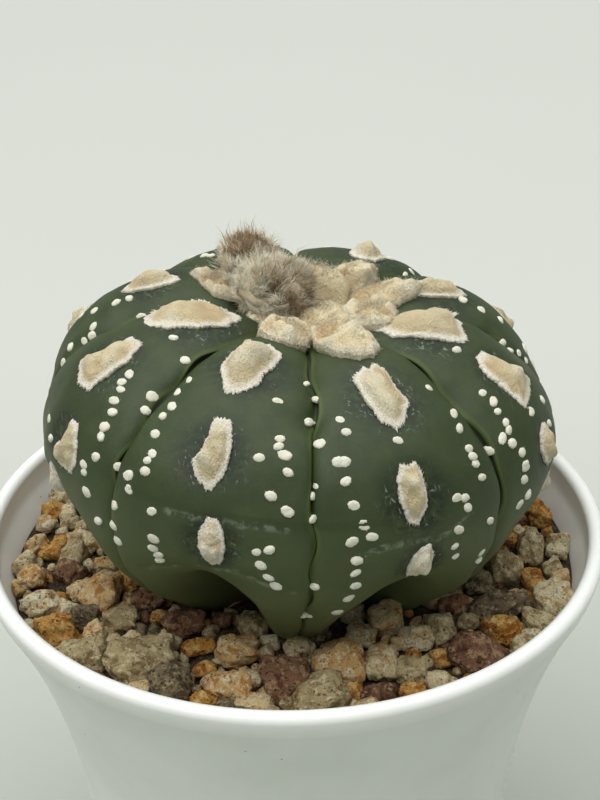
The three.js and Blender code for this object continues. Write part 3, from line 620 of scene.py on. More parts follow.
FLECK_PIXELS = [
    # front left rib, its right flank
    (278, 402), (280, 440), (278, 448), (284, 456), (260, 457), (287, 473), (271, 497), (288, 512),
    (269, 550), (257, 553), (261, 565), (267, 577), (276, 586),
    # front groove
    (307, 384), (315, 399), (310, 421), (316, 486), (311, 495), (312, 518), (315, 586), (306, 614),
    # front right rib, its left flank
    (339, 420), (346, 433), (320, 444), (340, 463), (344, 461), (346, 482), (354, 505), (365, 525),
    (373, 536), (353, 541), (357, 560), (355, 572), (357, 585), (349, 599), (337, 612),
    # front right rib, its right flank
    (429, 387), (454, 414), (460, 429), (468, 449), (472, 457), (475, 464), (482, 477), (457, 497),
    (464, 498), (467, 507), (458, 529), (491, 520), (455, 546), (455, 556), (483, 553), (479, 560),
    (399, 442), (488, 451),
    # right rib
    (457, 350), (483, 392), (493, 401), (497, 411), (505, 423), (507, 430), (502, 438), (512, 443),
    (522, 453), (524, 467), (524, 479), (528, 495), (520, 505), (503, 342), (511, 349), (520, 354),
    (527, 360), (541, 401), (547, 423), (546, 437), (529, 413), (480, 311),
    # back right rib
    (391, 282), (398, 279), (405, 276), (411, 273),
    # front left rib, its left flank
    (184, 360), (189, 380), (177, 392), (172, 407), (164, 416), (157, 434), (154, 454), (149, 461),
    (146, 472), (130, 475), (130, 490), (153, 511), (154, 538), (153, 548), (157, 556), (159, 561),
    # left groove
    (152, 395), (145, 411), (118, 465), (115, 505), (116, 525), (119, 541),
    # left rib
    (173, 338), (129, 375), (122, 383), (121, 389), (114, 401), (111, 413), (105, 426), (101, 438),
    (95, 457), (84, 464), (84, 472), (85, 492), (91, 509), (97, 521), (142, 316), (93, 327),
    (93, 336), (84, 342), (71, 347), (63, 362), (54, 392), (49, 419), (50, 439),
    # back left rib
    (130, 299), (116, 303), (212, 257),
]
FLECK_RADIUS = 0.85
FLECK_SIDES = 4
FAR_FLANK_ROWS = 6
SWELL_BROAD = 0.22
SWELL_FINE = 0.07


def near_samples():
    """Azimuth, t and place in the picture of points all over the body's near side."""
    around, down = np.radians(np.arange(-180, 180, 0.5)), np.arange(0.02, 0.8, 0.004)
    azimuth, t = np.meshgrid(around, down, indexing="ij")
    point, _, _, out, _, _ = plant_frame(azimuth, t)
    faces_eye = ((eye_place - point) * out).sum(-1) > 0
    return azimuth[faces_eye], t[faces_eye], in_picture(point[faces_eye])


NEAR_SIDE = near_samples()


def under(pixel):
    """Azimuth and t of the skin's point under a place in the picture."""
    azimuth, t, seen = NEAR_SIDE
    nearest = np.hypot(*(seen - pixel).T).argmin()
    return azimuth[nearest], t[nearest]


def far_flecks(draw):
    flecks = []
    for crest in np.arange(112.5, 248, 45):
        for flank in (-1, 1):
            for i in range(FAR_FLANK_ROWS):
                t = 0.3 + 0.36 * (i + 0.7 * draw()) / FAR_FLANK_ROWS
                off = flank * (9 + 3 * math.sin(i * 0.9 + crest) + 3 * draw())
                flecks.append((math.radians(crest + off), t))
    return flecks


def swelling(points):
    """How far the live skin swells out over the plain formula."""
    flat = np.asarray(points, float).reshape(-1, 3)
    lift = SWELL_BROAD * waves(flat, 11, 1) + SWELL_FINE * waves(flat, 4, 2)
    return lift.reshape(np.shape(points)[:-1])


fleck_draw = random_row(23)
flecks = [under(pixel) for pixel in FLECK_PIXELS] + far_flecks(fleck_draw)
pads = [
    (math.radians(crest + off), t, length, width)
    for crest, row in RIB_PADS.items() for t, length, width, off in row
]
pad_centres = np.array([plant(azimuth, t) for azimuth, t, _, _ in pads])
print(f"{len(flecks)} flecks, {len(pads)} pads")

# %% [markdown]
# ## The body's mesh
# The grid is close near the grooves, where the crease turns sharply, and wider on the crests. On
# top of the formula come the small things that the solid leaves out: the skin sinks a little under
# each pad and swells between pads, the creases wander a little, and a few shallow folds lie low on
# the front ribs.

# %% Body mesh
HALF_RIB_STEPS = 25
DOWN_STEPS = 150
ROOT_STEPS = 8
FOLD_LINES = [
    [(145, 570), (190, 570), (235, 572), (262, 584), (295, 596)],
    [(356, 558), (395, 546), (440, 539), (475, 513)],
    [(165, 510), (212, 522), (290, 530)],
]
FOLD_DEPTH = 0.22
FOLD_WIDTH = 0.7
GROOVE_REACH = 0.8
GROOVE_WANDER = 0.7
WANDER_SIZE = 5.5
WANDER_REACH = 3.5
GROOVE_LIP = 0.4
LIP_SIZE = 4.5
LIP_REACH = 1.1
PAD_SEAT = 0.45
PAD_SWELL = 0.16
PAD_SWELL_AT = 1.9
ROOT_START = (14.3, -11)
ROOT_TIP = (0.6, TAPROOT_TIP + 0.6)


def body_azimuths():
    half = math.pi / RIBS
    steps = (np.arange(HALF_RIB_STEPS) / HALF_RIB_STEPS) ** 1.35
    around = []
    for rib in range(RIBS):
        groove = rib * 2 * half
        around += [groove + u * half for u in steps] + [groove + half]
        around += [groove + (2 - u) * half for u in steps[:0:-1]]
    return np.array(around)


def along_line(corners, spacing=0.5):
    """Points every so often along a line through corners."""
    corners = np.asarray(corners, float)
    pieces = []
    for a, b in zip(corners[:-1], corners[1:]):
        steps = max(2, int(np.linalg.norm(b - a) / spacing))
        pieces.append(a + (b - a) * np.linspace(0, 1, steps, endpoint=False)[:, None])
    return np.concatenate(pieces)


def body_mesh(material):
    around = body_azimuths()
    down = np.linspace(1 / DOWN_STEPS, 1, DOWN_STEPS)
    azimuth, t = np.meshgrid(around, down)
    point, _, side, out, _, _ = plant_frame(azimuth, t)
    flat = point.reshape(-1, 3)
    to_pad = np.full(len(flat), 99.0)
    for centre, (_, _, length, width) in zip(pad_centres, pads):
        to_pad = np.minimum(to_pad, np.linalg.norm(flat - centre, axis=1) / (0.25 * (length + width)))
    to_fold = np.full(len(flat), 99.0)
    for line in FOLD_LINES:
        for pixel in along_line(line, 4.0):
            to_fold = np.minimum(to_fold, np.linalg.norm(flat - plant(*under(pixel)), axis=1))
    relief = PAD_SWELL * np.exp(-((to_pad - PAD_SWELL_AT) ** 2) * 2) - PAD_SEAT * np.exp(-(to_pad**2))
    relief += swelling(flat)
    relief -= FOLD_DEPTH * np.exp(-((to_fold / FOLD_WIDTH) ** 2))
    relief = relief.reshape(t.shape) * smoothstep(0.0, 0.12, t)
    u = groove_nearness(azimuth)
    from_groove = np.hypot(point[..., 0], point[..., 1]) * u * math.pi / RIBS
    wander = GROOVE_WANDER * waves(flat, WANDER_SIZE, 3, 12).reshape(t.shape)
    wander = wander * np.exp(-((from_groove / WANDER_REACH) ** 2))
    lip = GROOVE_LIP * waves(flat, LIP_SIZE, 4, 12).reshape(t.shape)
    lip = lip * from_groove * np.exp(-from_groove / LIP_REACH)
    below_crown = smoothstep(0.12, 0.36, t)
    point = point + out * (relief + lip * below_crown)[..., None] + side * (wander * below_crown)[..., None]
    root_t = np.linspace(0, 1, ROOT_STEPS + 1)[1:]
    root_line = along([ROOT_START, *TAPROOT, ROOT_TIP], root_t)
    root = np.stack([leaned(radius, around, height) for radius, height in root_line])
    rings = np.concatenate([point, root])
    points, faces = closed_rings(plant(0, 0), rings, leaned(0, 0, TAPROOT_TIP))

    def over_all(values, on_root=0.0):
        return np.concatenate([[0], values.reshape(-1), np.full(ROOT_STEPS * len(around) + 1, on_root)])

    body = Gathered("groove", "pad_near", "fold", "low", "root")
    body.add(
        points, faces,
        groove=over_all(np.exp(-from_groove / GROOVE_REACH)),
        pad_near=over_all(np.exp(-np.maximum(to_pad - 0.9, 0) * 1.1)),
        fold=over_all(np.exp(-((to_fold / FOLD_WIDTH) ** 2))),
        low=over_all(smoothstep(0.45, 0.75, t), 1.0),
        root=over_all(smoothstep(0.9, 0.98, t), 1.0),
    )
    return body.piece("plant_body", material, "stem", "plant_skin")


# %% [markdown]
# The skin is waxy: deep green on the flanks, with painted light that shifts its green where it faces up and
# makes it a little paler low down. A thin yellow-green edge runs beside each crease, and the crease itself
# is darkened as painted shade. Round the pads it is smudged dark and finely scratched where the felt has
# rubbed and dried. The scratches are the edges of
# stretched Voronoi cells, broken up by noise, because real ones are thin, straight and short.

# %% Skin finish
def plant_skin():
    finish = Finish(
        "plant_skin", IOR=1.38, Subsurface_Weight=0.08, Subsurface_Scale=0.0008,
        Subsurface_Radius=(0.6, 1.0, 0.35), Coat_Weight=0.04, Coat_Roughness=0.4,
    )
    place = finish.place()
    broad = finish.noise(place, 9, 3)
    cloudy = finish.noise(place, 3.2, 5, 0.6)
    grain = finish.noise(place, 0.35, 3, 0.6)
    normal = finish.node("NewGeometry")["Normal"]
    # Painted light: the green changes with how far the skin faces up.
    upward = finish.node("SeparateXYZ", {}, {"Vector": normal})["Z"].between(-0.35, 0.95)
    deep = finish.mix(broad.between(0.35, 0.7), rgb("353f24"), rgb("40492c"))
    top_painted_light = finish.mix(cloudy.between(0.3, 0.75), rgb("2f3c21"), rgb("3d4a2a"))
    green = finish.mix(upward * 0.85, deep, top_painted_light)
    # Painted light: the lower body is mixed toward a paler green, to lift its shade.
    green = finish.mix(finish.attribute("low") * 0.9, green, rgb("5f6b45"))
    green = finish.mix(grain.between(0.62, 0.8) * 0.12, green, rgb("65754f"))
    near_pad = finish.attribute("pad_near")
    smudge = near_pad.between(0.2, 0.85) * finish.noise(place, 1.6, 6, 0.7, 0.8).between(0.36, 0.56)
    green = finish.mix(smudge * 0.75, green, rgb("161f1a"))
    tilted = finish.node("VectorRotate", {"rotation_type": "EULER_XYZ"}, {
        "Vector": place, "Rotation": (0.5, 0.3, 0.6),
    })["Vector"]
    wavy = finish.noise(place, 2.2, 2)
    lines = finish.cells(finish.stretched(tilted, 1.0, 1.0, 0.2), 1.3, "DISTANCE_TO_EDGE")["Distance"]
    scratch = lines.between(0.05, 0.01) * finish.noise(place, 0.7, 3).between(0.48, 0.6)
    scratch = scratch * near_pad.between(0.3, 0.8) * wavy.between(0.48, 0.56)
    green = finish.mix(scratch * 0.6, green, rgb("9caa9c"))
    bloom = finish.noise(finish.stretched(tilted, 0.35, 1.6, 1.6), 2.4, 5, 0.7).between(0.6, 0.78)
    green = finish.mix(bloom * (finish.attribute("low") * 0.3 + 0.12), green, rgb("7b8668"))
    dried = finish.attribute("fold").between(0.35, 0.9) * finish.noise(place, 1.7, 5, 0.7).between(0.45, 0.6)
    green = finish.mix(dried * 0.45, green, rgb("93a08c"))
    groove = finish.attribute("groove")
    green = finish.mix(groove.between(0.35, 0.65) * 0.45, green, rgb("55662c"))
    # Painted shade: the middle of each crease is darkened to near black.
    green = finish.mix(groove.between(0.8, 0.94) * 0.9, green, rgb("141b0d"))
    finish.colour(finish.mix(finish.attribute("root"), green, rgb("6d5a42")))
    finish.rough(0.5 + cloudy * 0.14 + scratch * 0.2)
    finish.bump(cloudy * 0.8 + grain * 0.3 - scratch * 0.3, 0.16, 0.6)
    return finish.material


body_mesh(plant_skin())

# %% [markdown]
# ## Felt
# A pad is a cushion of matted hairs, tan in the middle and whiter at its ragged rim. It is laid
# out in polar steps over the skin, so that it follows the rib's curve however long it is. Near
# pads have the outline that the picture shows, the others that of the solid. The lowest are worn
# white all over. Short hairs stand out all round the rim.

# %% Outlines of the near pads
PAD_OUTLINES = {
    (-22.5, 0): [
        (251, 342), (259, 348), (270, 346), (282, 355), (276, 365), (268, 371), (260, 380), (248, 390),
        (238, 392), (227, 395), (224, 384), (221, 372), (226, 362), (234, 353), (242, 349), (246, 344),
    ],
    (-22.5, 1): [
        (213, 422), (220, 418), (229, 421), (233, 427), (232, 443), (230, 455), (223, 475), (217, 485),
        (208, 490), (199, 482), (192, 468), (193, 460), (200, 452), (205, 440), (210, 434), (211, 427),
    ],
    (22.5, 0): [
        (363, 368), (368, 370), (371, 366), (377, 366), (385, 371), (391, 379), (397, 388), (405, 397),
        (409, 405), (406, 414), (404, 424), (399, 431), (393, 430), (386, 426), (378, 418), (370, 407),
        (364, 397), (357, 387), (354, 379), (357, 372),
    ],
    (22.5, 1): [
        (401, 466), (408, 465), (415, 462), (419, 467), (422, 476), (425, 488), (427, 500), (425, 511),
        (421, 520), (416, 526), (409, 520), (404, 510), (400, 497), (398, 484), (398, 473),
    ],
    (67.5, 0): [
        (377, 329), (383, 320), (399, 319), (408, 316), (417, 315), (432, 314), (447, 311), (455, 316),
        (463, 329), (467, 338), (463, 343), (452, 341), (438, 340), (422, 339), (408, 339), (394, 339),
        (384, 335),
    ],
    (67.5, 1): [
        (482, 351), (488, 353), (492, 359), (499, 362), (508, 363), (518, 369), (526, 375), (530, 382),
        (530, 391), (528, 400), (524, 408), (514, 400), (503, 388), (492, 378), (482, 366), (478, 358),
    ],
    (292.5, 0): [
        (148, 325), (153, 316), (161, 309), (172, 305), (184, 303), (196, 300), (206, 302), (216, 307),
        (226, 310), (236, 315), (239, 321), (231, 326), (219, 328), (206, 328), (191, 327), (175, 327),
        (162, 328),
    ],
    (292.5, 1): [
        (131, 337), (139, 340), (140, 345), (134, 353), (126, 362), (115, 370), (104, 379), (95, 387),
        (88, 392), (82, 388), (80, 378), (81, 367), (86, 360), (93, 357), (103, 353), (113, 348), (123, 343),
    ],
    (292.5, 2): [
        (73, 420), (78, 424), (78, 439), (76, 453), (73, 465), (69, 473), (64, 468), (58, 462), (55, 452),
        (57, 444), (63, 438), (69, 431),
    ],
}
print(f"{len(PAD_OUTLINES)} pads by their outlines")

# %% Felt shapes
hair_rng = np.random.default_rng(404)
BEND_AT = 0.55
HAIR_ALONG = np.array([0, 0, 0, BEND_AT, BEND_AT, BEND_AT, 1.0])
LUMP_DEPTH = 0.42
LUMP_SIZES = (0.62, 0.28)
TEETH = 9
TEETH_DEPTH = 0.03
KNOB_SIZE = 1.2


def hairs(roots, directions, lengths, radius, bend=0.35):
    """Thin closed three-sided hairs that taper to a point, bent once on the way."""
    count = len(roots)
    directions = unit(directions)
    aside = unit(np.cross(directions, hair_rng.normal(size=(count, 3))))
    across = np.cross(directions, aside)
    middle = roots + directions * (BEND_AT * lengths)[:, None]
    tip = roots + unit(directions + aside * bend * hair_rng.uniform(-1, 1, (count, 1))) * lengths[:, None]
    points = np.zeros((count, 7, 3))
    for i in range(3):
        angle = i * 2 * math.pi / 3
        ring = math.cos(angle) * aside + math.sin(angle) * across
        points[:, i] = roots + ring * radius
        points[:, 3 + i] = middle + ring * radius * 0.75
    points[:, 6] = tip
    first = np.arange(count)[:, None] * 7
    base = first + [2, 1, 0]
    sides = np.concatenate([first + [i, (i + 1) % 3, 3 + (i + 1) % 3, 3 + i] for i in range(3)])
    tips = np.concatenate([first + [3 + i, 3 + (i + 1) % 3, 6] for i in range(3)])
    return points.reshape(-1, 3), [base, sides, tips]


def hair_values(count, per_hair):
    return np.repeat(per_hair, 7) if np.ndim(per_hair) else np.full(count * 7, per_hair)


def periodic(values, angle):
    """A smooth closed line through evenly spaced values."""
    values = np.asarray(values, float)
    x = angle / (2 * math.pi) * len(values)
    i = np.floor(x).astype(int)
    f = x - i
    a, b, c, d = (values[(i + k) % len(values)] for k in (-1, 0, 1, 2))
    return 0.5 * (2 * b + (c - a) * f + (2 * a - 5 * b + 4 * c - d) * f**2 + (3 * b - a - 3 * c + d) * f**3)


def over_skin(azimuth, t, heading=0.0):
    """Lays a pad over the skin: x mm downhill and y mm sideways from a place on the body."""
    per_t, per_azimuth = plant_frame(azimuth, t)[4:]

    def lay(x, y):
        downhill = x * math.cos(heading) - y * math.sin(heading)
        sideways = x * math.sin(heading) + y * math.cos(heading)
        frame_there = plant_frame(azimuth + sideways / per_azimuth, t + downhill / per_t)
        return frame_there[0] + frame_there[3] * swelling(frame_there[0])[..., None], frame_there[3]

    return lay


def over_crown(azimuth, t, heading):
    """Lays a pad out flat: near the crown the skin's own lines run together."""
    point, down, side, out = plant_frame(azimuth, t)[:4]
    lengthways = math.cos(heading) * down + math.sin(heading) * side
    crossways = math.cos(heading) * side - math.sin(heading) * down

    def lay(x, y):
        flat = point + x[..., None] * lengthways + y[..., None] * crossways
        return flat, np.broadcast_to(out, flat.shape)

    return lay


def oval(length, width, uneven):
    """Corners of an uneven oval, x downhill and y sideways."""
    angle = np.arange(len(uneven)) / len(uneven) * 2 * math.pi
    return 0.5 * np.array(uneven)[:, None] * np.stack([length * np.cos(angle), width * np.sin(angle)], -1)


def traced(pixels):
    """A pad's middle, as azimuth and t, and its corners in millimetres about it."""
    places = np.array([under(pixel) for pixel in pixels])
    middle = places.mean(0)
    per_t, per_azimuth = plant_frame(*middle)[4:]
    return middle, (places - middle)[:, ::-1] * (per_t, per_azimuth)


def dome(reach, full=1.0):
    """A cushion's height, 1 in its middle and 0 from full outwards."""
    return np.maximum(1 - (reach / full) ** 2.3, 0) ** 0.62


def felt_pad(
    piece, lay, corners, height, seed, rim_thick=0.34, rings=12, per_corner=8, sink=0.5, full=0.74,
    ragged=0.05, knobs=0.1, least_rim=0.0,
):
    """One pad: a thin felt sheet out to its ragged rim, with a lumpy cushion on its middle."""
    around = per_corner * len(corners)
    angle = np.arange(around) / around * 2 * math.pi
    edge = np.stack([periodic(corners[:, axis], angle) for axis in (0, 1)], -1)
    teeth = TEETH_DEPTH * np.sin(angle * TEETH + seed)
    teeth = teeth + ragged * np.random.default_rng(seed).uniform(-1, 1, around)
    reach = np.append(1 - (1 - np.arange(1, rings) / (rings - 1)) ** 1.3, 1.0)[:, None] + 0 * angle
    spread = edge * (reach * (1 + teeth * reach**4))[..., None]
    point, out = lay(spread[..., 0], spread[..., 1])
    size = np.linalg.norm(edge, axis=1).mean()
    broad, narrow = (part * size for part in LUMP_SIZES)
    lumps = waves(point, broad, seed, 6) + 0.45 * waves(point, narrow, seed + 7, 8)
    rise = rim_thick * (1 - 0.6 * reach**14) + height * dome(reach, full) * (1 + LUMP_DEPTH * lumps)
    rise = rise + knobs * waves(point, KNOB_SIZE, seed + 1, 14) * np.minimum(1, 4 * (1 - reach) + 0.3)
    rise[-1] = -sink
    middle, middle_out = lay(np.zeros(1), np.zeros(1))
    top = middle[0] + middle_out[0] * rise[0].mean()
    foot = middle[0] - middle_out[0] * (sink + 0.3)
    points, faces = closed_rings(top, point + out * rise[..., None], foot)
    lift = np.concatenate([[lumps[0].mean()], lumps.reshape(-1), [0]])
    rim = np.maximum(np.concatenate([[0], reach.reshape(-1), [1]]), least_rim)
    piece.add(points, faces, rim=rim, lift=lift, shade=hair_rng.uniform())
    return point[-2] + out[-2] * 0.6 * rise[-2][..., None], out[-2], unit(point[-2] - point[-4])


def rim_hairs(piece, points, out, outward, count, length, radius=0.045, lift=0.15):
    """Short hairs that stand out along a pad's rim."""
    pick = hair_rng.integers(0, len(points), count)
    jitter = hair_rng.normal(size=(count, 3))
    roots = points[pick] - 0.15 * outward[pick] + 0.06 * jitter
    directions = outward[pick] + lift * out[pick] + 0.3 * hair_rng.normal(size=(count, 3))
    lengths = 0.15 + length * hair_rng.uniform(0.4, 1.2, count)
    made, faces = hairs(roots, directions, lengths, radius)
    piece.add(made, faces, rim=1.0, shade=hair_values(count, hair_rng.uniform(size=count)))


# %% Felt finish
def felt(name, tan_amount, tan="bfa477", warm="dccba3", white="f3eddd", rim_from=0.66):
    finish = Finish(
        name, Roughness=0.95, Sheen_Weight=0.12, Sheen_Roughness=0.6,
        Subsurface_Weight=0.12, Subsurface_Scale=0.0006, Subsurface_Radius=(1.0, 0.9, 0.7),
    )
    place = finish.place()
    fluff = finish.noise(place, 0.45, 6, 0.75)
    patch = finish.noise(place, 1.9, 3, 0.6)
    rim = finish.attribute("rim")
    shade = finish.attribute("shade")
    lift = finish.attribute("lift")
    # Partly painted shade: besides random tan patches, the hollows between lumps get more tan.
    tan_and_hollow_shade = (0.5 - lift * 0.22 + (patch - 0.5) * 0.9).between(0.32, 0.85)
    middle = finish.mix(tan_and_hollow_shade * tan_amount, rgb(warm), rgb(tan))
    cream = finish.mix(shade * 0.3, middle, rgb("d8cfae"))
    toward_rim = (rim + (fluff - 0.5) * 0.4 + lift * 0.05).between(rim_from, rim_from + 0.3)
    light = finish.mix(toward_rim, cream, rgb(white))
    # Painted highlight: the raised lumps are mixed toward a paler cream.
    light = finish.mix(lift.between(0.3, 1.2) * 0.5, light, rgb("e8e1c9"))
    finish.colour(finish.mix(fluff.between(0.5, 0.3) * 0.3, light, rgb("a08d66")))
    fibres = finish.cells(finish.stretched(place, 1, 1, 0.5), 0.26)["Distance"]
    finish.bump(fluff * 1.3 + fibres * 0.6, 0.32, 1.0)
    return finish.material


# %% Rib pads
PAD_AROUND = 9
LOW_PAD_WHITE = 0.8


def rib_pads(material):
    piece = Gathered("rim", "lift", "shade")
    draw = random_row(11)
    for crest, row in RIB_PADS.items():
        for i, (t, length, width, off) in enumerate(row):
            uneven = [1 + 0.12 * (2 * draw() - 1) for _ in range(PAD_SIDES)]
            middle, corners = (math.radians(crest + off), t), oval(length, width, uneven)
            per_corner = 2 * PAD_AROUND
            if (crest, i) in PAD_OUTLINES:
                middle, corners = traced(PAD_OUTLINES[crest, i])
                per_corner = PAD_AROUND
            height = PAD_HEIGHT * (1.25 if t < 0.3 else 0.8)
            seed = int(crest * 2) + 100 + i
            worn = LOW_PAD_WHITE * smoothstep(0.48, 0.56, t)
            edge, out, outward = felt_pad(
                piece, over_skin(*middle), corners, height, seed, per_corner=per_corner, least_rim=worn,
            )
            rim_hairs(piece, edge, out, outward, int(10 * (length + width)), 0.22)
    return piece.piece("rib_pads", material, "stem", "felt_wool")


rib_pads(felt("pad_felt", 0.75))

# %% [markdown]
# The flecks are the same felt in tufts under two millimetres across, so each is a small dome with
# an uneven edge and a handful of hairs. They are off-white: at that size no tan middle shows.

# %% Flecks
def fleck_felt():
    finish = Finish("fleck_felt", Roughness=0.95, Sheen_Weight=0.2)
    place = finish.place()
    fluff = finish.noise(place, 0.3, 4, 0.7)
    white = finish.mix(finish.attribute("shade") * 0.6, rgb("e4e3d3"), rgb("d3d0ba"))
    finish.colour(finish.mix(fluff.between(0.52, 0.3) * 0.35, white, rgb("a9a68c")))
    finish.bump(fluff, 0.12, 0.8)
    return finish.material


def fleck_domes(material):
    piece = Gathered("rim", "lift", "shade")
    for i, (azimuth, t) in enumerate(flecks):
        size = 2 * FLECK_RADIUS * (0.8 + 0.33 * fleck_draw())
        heading = 0.5 * math.sin(2 * math.pi * fleck_draw())
        uneven = [1 + 0.1 * (2 * fleck_draw() - 1) for _ in range(FLECK_SIDES)]
        corners = oval(0.78 * size, 1.02 * size, np.repeat(uneven, 2))
        lay = over_skin(azimuth, t, heading)
        edge, out, outward = felt_pad(
            piece, lay, corners, 0.12, 100 + i, rim_thick=0.22, rings=5, per_corner=3, sink=0.4,
        )
        rim_hairs(piece, edge, out, outward, 7, 0.1, 0.035)
    return piece.piece("felt_flecks", material, "stem", "felt_wool")


fleck_domes(fleck_felt())

# %% [markdown]
# ## The crown
# The youngest pads crowd together at the crown into one cream mat, heaped in the middle. Pads are
# made as on the ribs, only thicker. The heaps are lumpy balls sunk into the mat, and a short fur
# of bent hairs covers the whole, because smooth lumps would look like dough.

# %% Crown wool
CROWN_PADS = [
    (-17, 0.115, 9.4, 8.4, 3.4, 0), (25, 0.166, 14.0, 7.6, 3.2, 0), (72, 0.13, 8.8, 7.8, 3.6, 0),
    (107, 0.158, 12.4, 6.2, 2.8, 4), (142, 0.17, 12.0, 6.6, 3.6, -6), (204, 0.15, 8.6, 5.6, 2.8, 6),
    (-114, 0.17, 9.8, 5.0, 2.6, -15), (-70, 0.075, 7.0, 6.0, 2.4, 0),
]
CROWN_HEAPS = [
    (2.3, 4.4, 36.6, 4.8, 4.8, 5.4), (-4.4, 3.6, 35.0, 6.6, 5.6, 3.4),
    (-7.4, 8.4, 36.2, 5.8, 5.2, 3.4), (2.8, -2.0, 35.2, 5.6, 5.2, 3.2),
]
WOOL_RAGGEDNESS = 0.16
CUSHION_SHARE = 0.6
HEAP_HAIRS = 1200
CUSHION_HAIRS = 620
RIM_HAIRS = 300


def crown_place(x, y, z):
    return leaned(math.hypot(x, y), math.atan2(x, -y) - TURN, z)


def lumpy_ball(centre, half, seed, rings=22, around=40, lump=0.09):
    """Points, faces and outward directions of an uneven ball."""
    polar = np.linspace(0, math.pi, rings + 2)[:, None]
    angle = np.arange(around) / around * 2 * math.pi
    across = np.sin(polar)
    sphere = np.stack([across * np.cos(angle), across * np.sin(angle), np.cos(polar) + 0 * angle], -1)
    half = np.array(half, float)
    uneven = 1 + lump * waves(sphere * half, 0.5 * half.mean(), seed)
    uneven = uneven + 0.03 * waves(sphere * half, 1.2, seed + 1)
    points = centre + sphere * half * uneven[..., None]
    made, faces = closed_rings(points[0].mean(0), points[1:-1], points[-1].mean(0))
    return made, faces, unit(sphere / half)[1:-1]


def fur_over(piece, lay, corners, height, count):
    """Short bent hairs that lie every way over a cushion."""
    angle = 2 * math.pi * hair_rng.uniform(size=count)
    reach = np.sqrt(hair_rng.uniform(0, 0.9, count))
    x, y = (periodic(corners[:, axis], angle) * reach for axis in (0, 1))
    place, out = lay(x, y)
    place = place + out * (height * dome(reach))[:, None]
    directions = 0.45 * out + hair_rng.normal(size=(count, 3))
    made, faces = hairs(place, directions, hair_rng.uniform(0.5, 1.2, count), 0.03, 0.9)
    shades = hair_values(count, hair_rng.uniform(size=count))
    piece.add(made, faces, rim=1.0, lift=0.5, shade=shades)


def crown_wool(material):
    piece = Gathered("rim", "lift", "shade")
    draw = random_row(31)
    for i, (degrees, t, length, width, height, heading) in enumerate(CROWN_PADS):
        uneven = [1 + WOOL_RAGGEDNESS * (2 * draw() - 1) for _ in range(PAD_SIDES)]
        lay = over_crown(math.radians(degrees), t, math.radians(heading))
        corners = oval(length, width, uneven)
        edge, out, outward = felt_pad(
            piece, lay, corners, CUSHION_SHARE * height, 300 + i, rim_thick=0.35, rings=26,
            per_corner=16, sink=1.2, full=1.0, ragged=0.03, knobs=0.26,
        )
        rim_hairs(piece, edge, out, outward, RIM_HAIRS, 0.5, lift=0.5)
        fur_over(piece, lay, corners, CUSHION_SHARE * height + 0.3, CUSHION_HAIRS)
    for i, (x, y, z, *half) in enumerate(CROWN_HEAPS):
        made, faces, out = lumpy_ball(crown_place(x, y, z), half, 320 + i)
        piece.add(made, faces, rim=0.6, lift=0.2, shade=0.5)
        skin = made[1:-1]
        pick = hair_rng.integers(0, len(skin), HEAP_HAIRS)
        roots = skin[pick] + 0.25 * hair_rng.normal(size=(HEAP_HAIRS, 3))
        directions = 0.6 * out.reshape(-1, 3)[pick] + 0.9 * hair_rng.normal(size=(HEAP_HAIRS, 3))
        fur, fur_faces = hairs(roots, directions, hair_rng.uniform(0.7, 1.5, HEAP_HAIRS), 0.04, 0.9)
        shades = hair_values(HEAP_HAIRS, hair_rng.uniform(size=HEAP_HAIRS))
        piece.add(fur, fur_faces, rim=0.9, lift=0.2, shade=shades)
    return piece.piece("crown_mat", material, "crown_wool", "felt_wool")


crown_wool(felt("crown_felt", 0.8, "cfa568", "ecddb6", "f0e6ca", 0.75))

# %% [markdown]
# ## The buds
# Each bud is a shaggy ball of wool, cream at its sides, with grey-brown hairs over its face. Loose
# single hairs would make it look like a brush. Real wool mats into locks, with dark gaps between
# them, so every hair belongs to the nearest lock and its tip is drawn to the tip of that lock.
# Only a few hairs stand free. Each is a thin closed sliver that knows how brown it is.

# %% Bud shapes
BUD_FRONT = dict(centre=(-4.6, 1.2, 39.4), half=(6.0, 5.2, 4.2), lean=(0.55, -0.15, 0.8), seed=71)
BUD_BACK = dict(centre=(-8.5, 8.2, 39.8), half=(4.6, 4.6, 4.7), lean=(-0.1, 0.15, 1), seed=72)
CORE_SHARE = 0.9
LOCK_PULL = 0.8
FREE_SHARE = 0.03
HAIR_RADIUS = 0.055


def bud_locks(middle, half, lean, seed, locks, brown_side, length):
    """Each lock's place on the ball, way, length, tip, and how brown it is."""
    ball = unit(hair_rng.normal(size=(locks, 3)))
    ball[:, 2] = np.where(ball[:, 2] < -0.6, -ball[:, 2], ball[:, 2])
    out = unit(ball / half)
    root = middle + ball * half * 0.92
    swirl = np.stack([waves(root, 3.0, seed + k, 6) for k in (1, 2, 3)], -1)
    sweep = 0.7 * lean + 1.2 * swirl + 0.35 * hair_rng.normal(size=(locks, 3))
    flat = unit(sweep - (sweep * out).sum(-1, keepdims=True) * out)
    way = unit(flat + out * hair_rng.uniform(0.0, 0.5, (locks, 1)))
    lengths = length * hair_rng.uniform(0.7, 1.15, locks)
    facing = (ball * unit(np.array(brown_side, float))).sum(-1)
    brown = smoothstep(0.0, 1.0, facing + 0.4 * waves(root, 2.2, seed + 5) - 0.25)
    return ball, way, lengths, root + way * lengths[:, None], brown


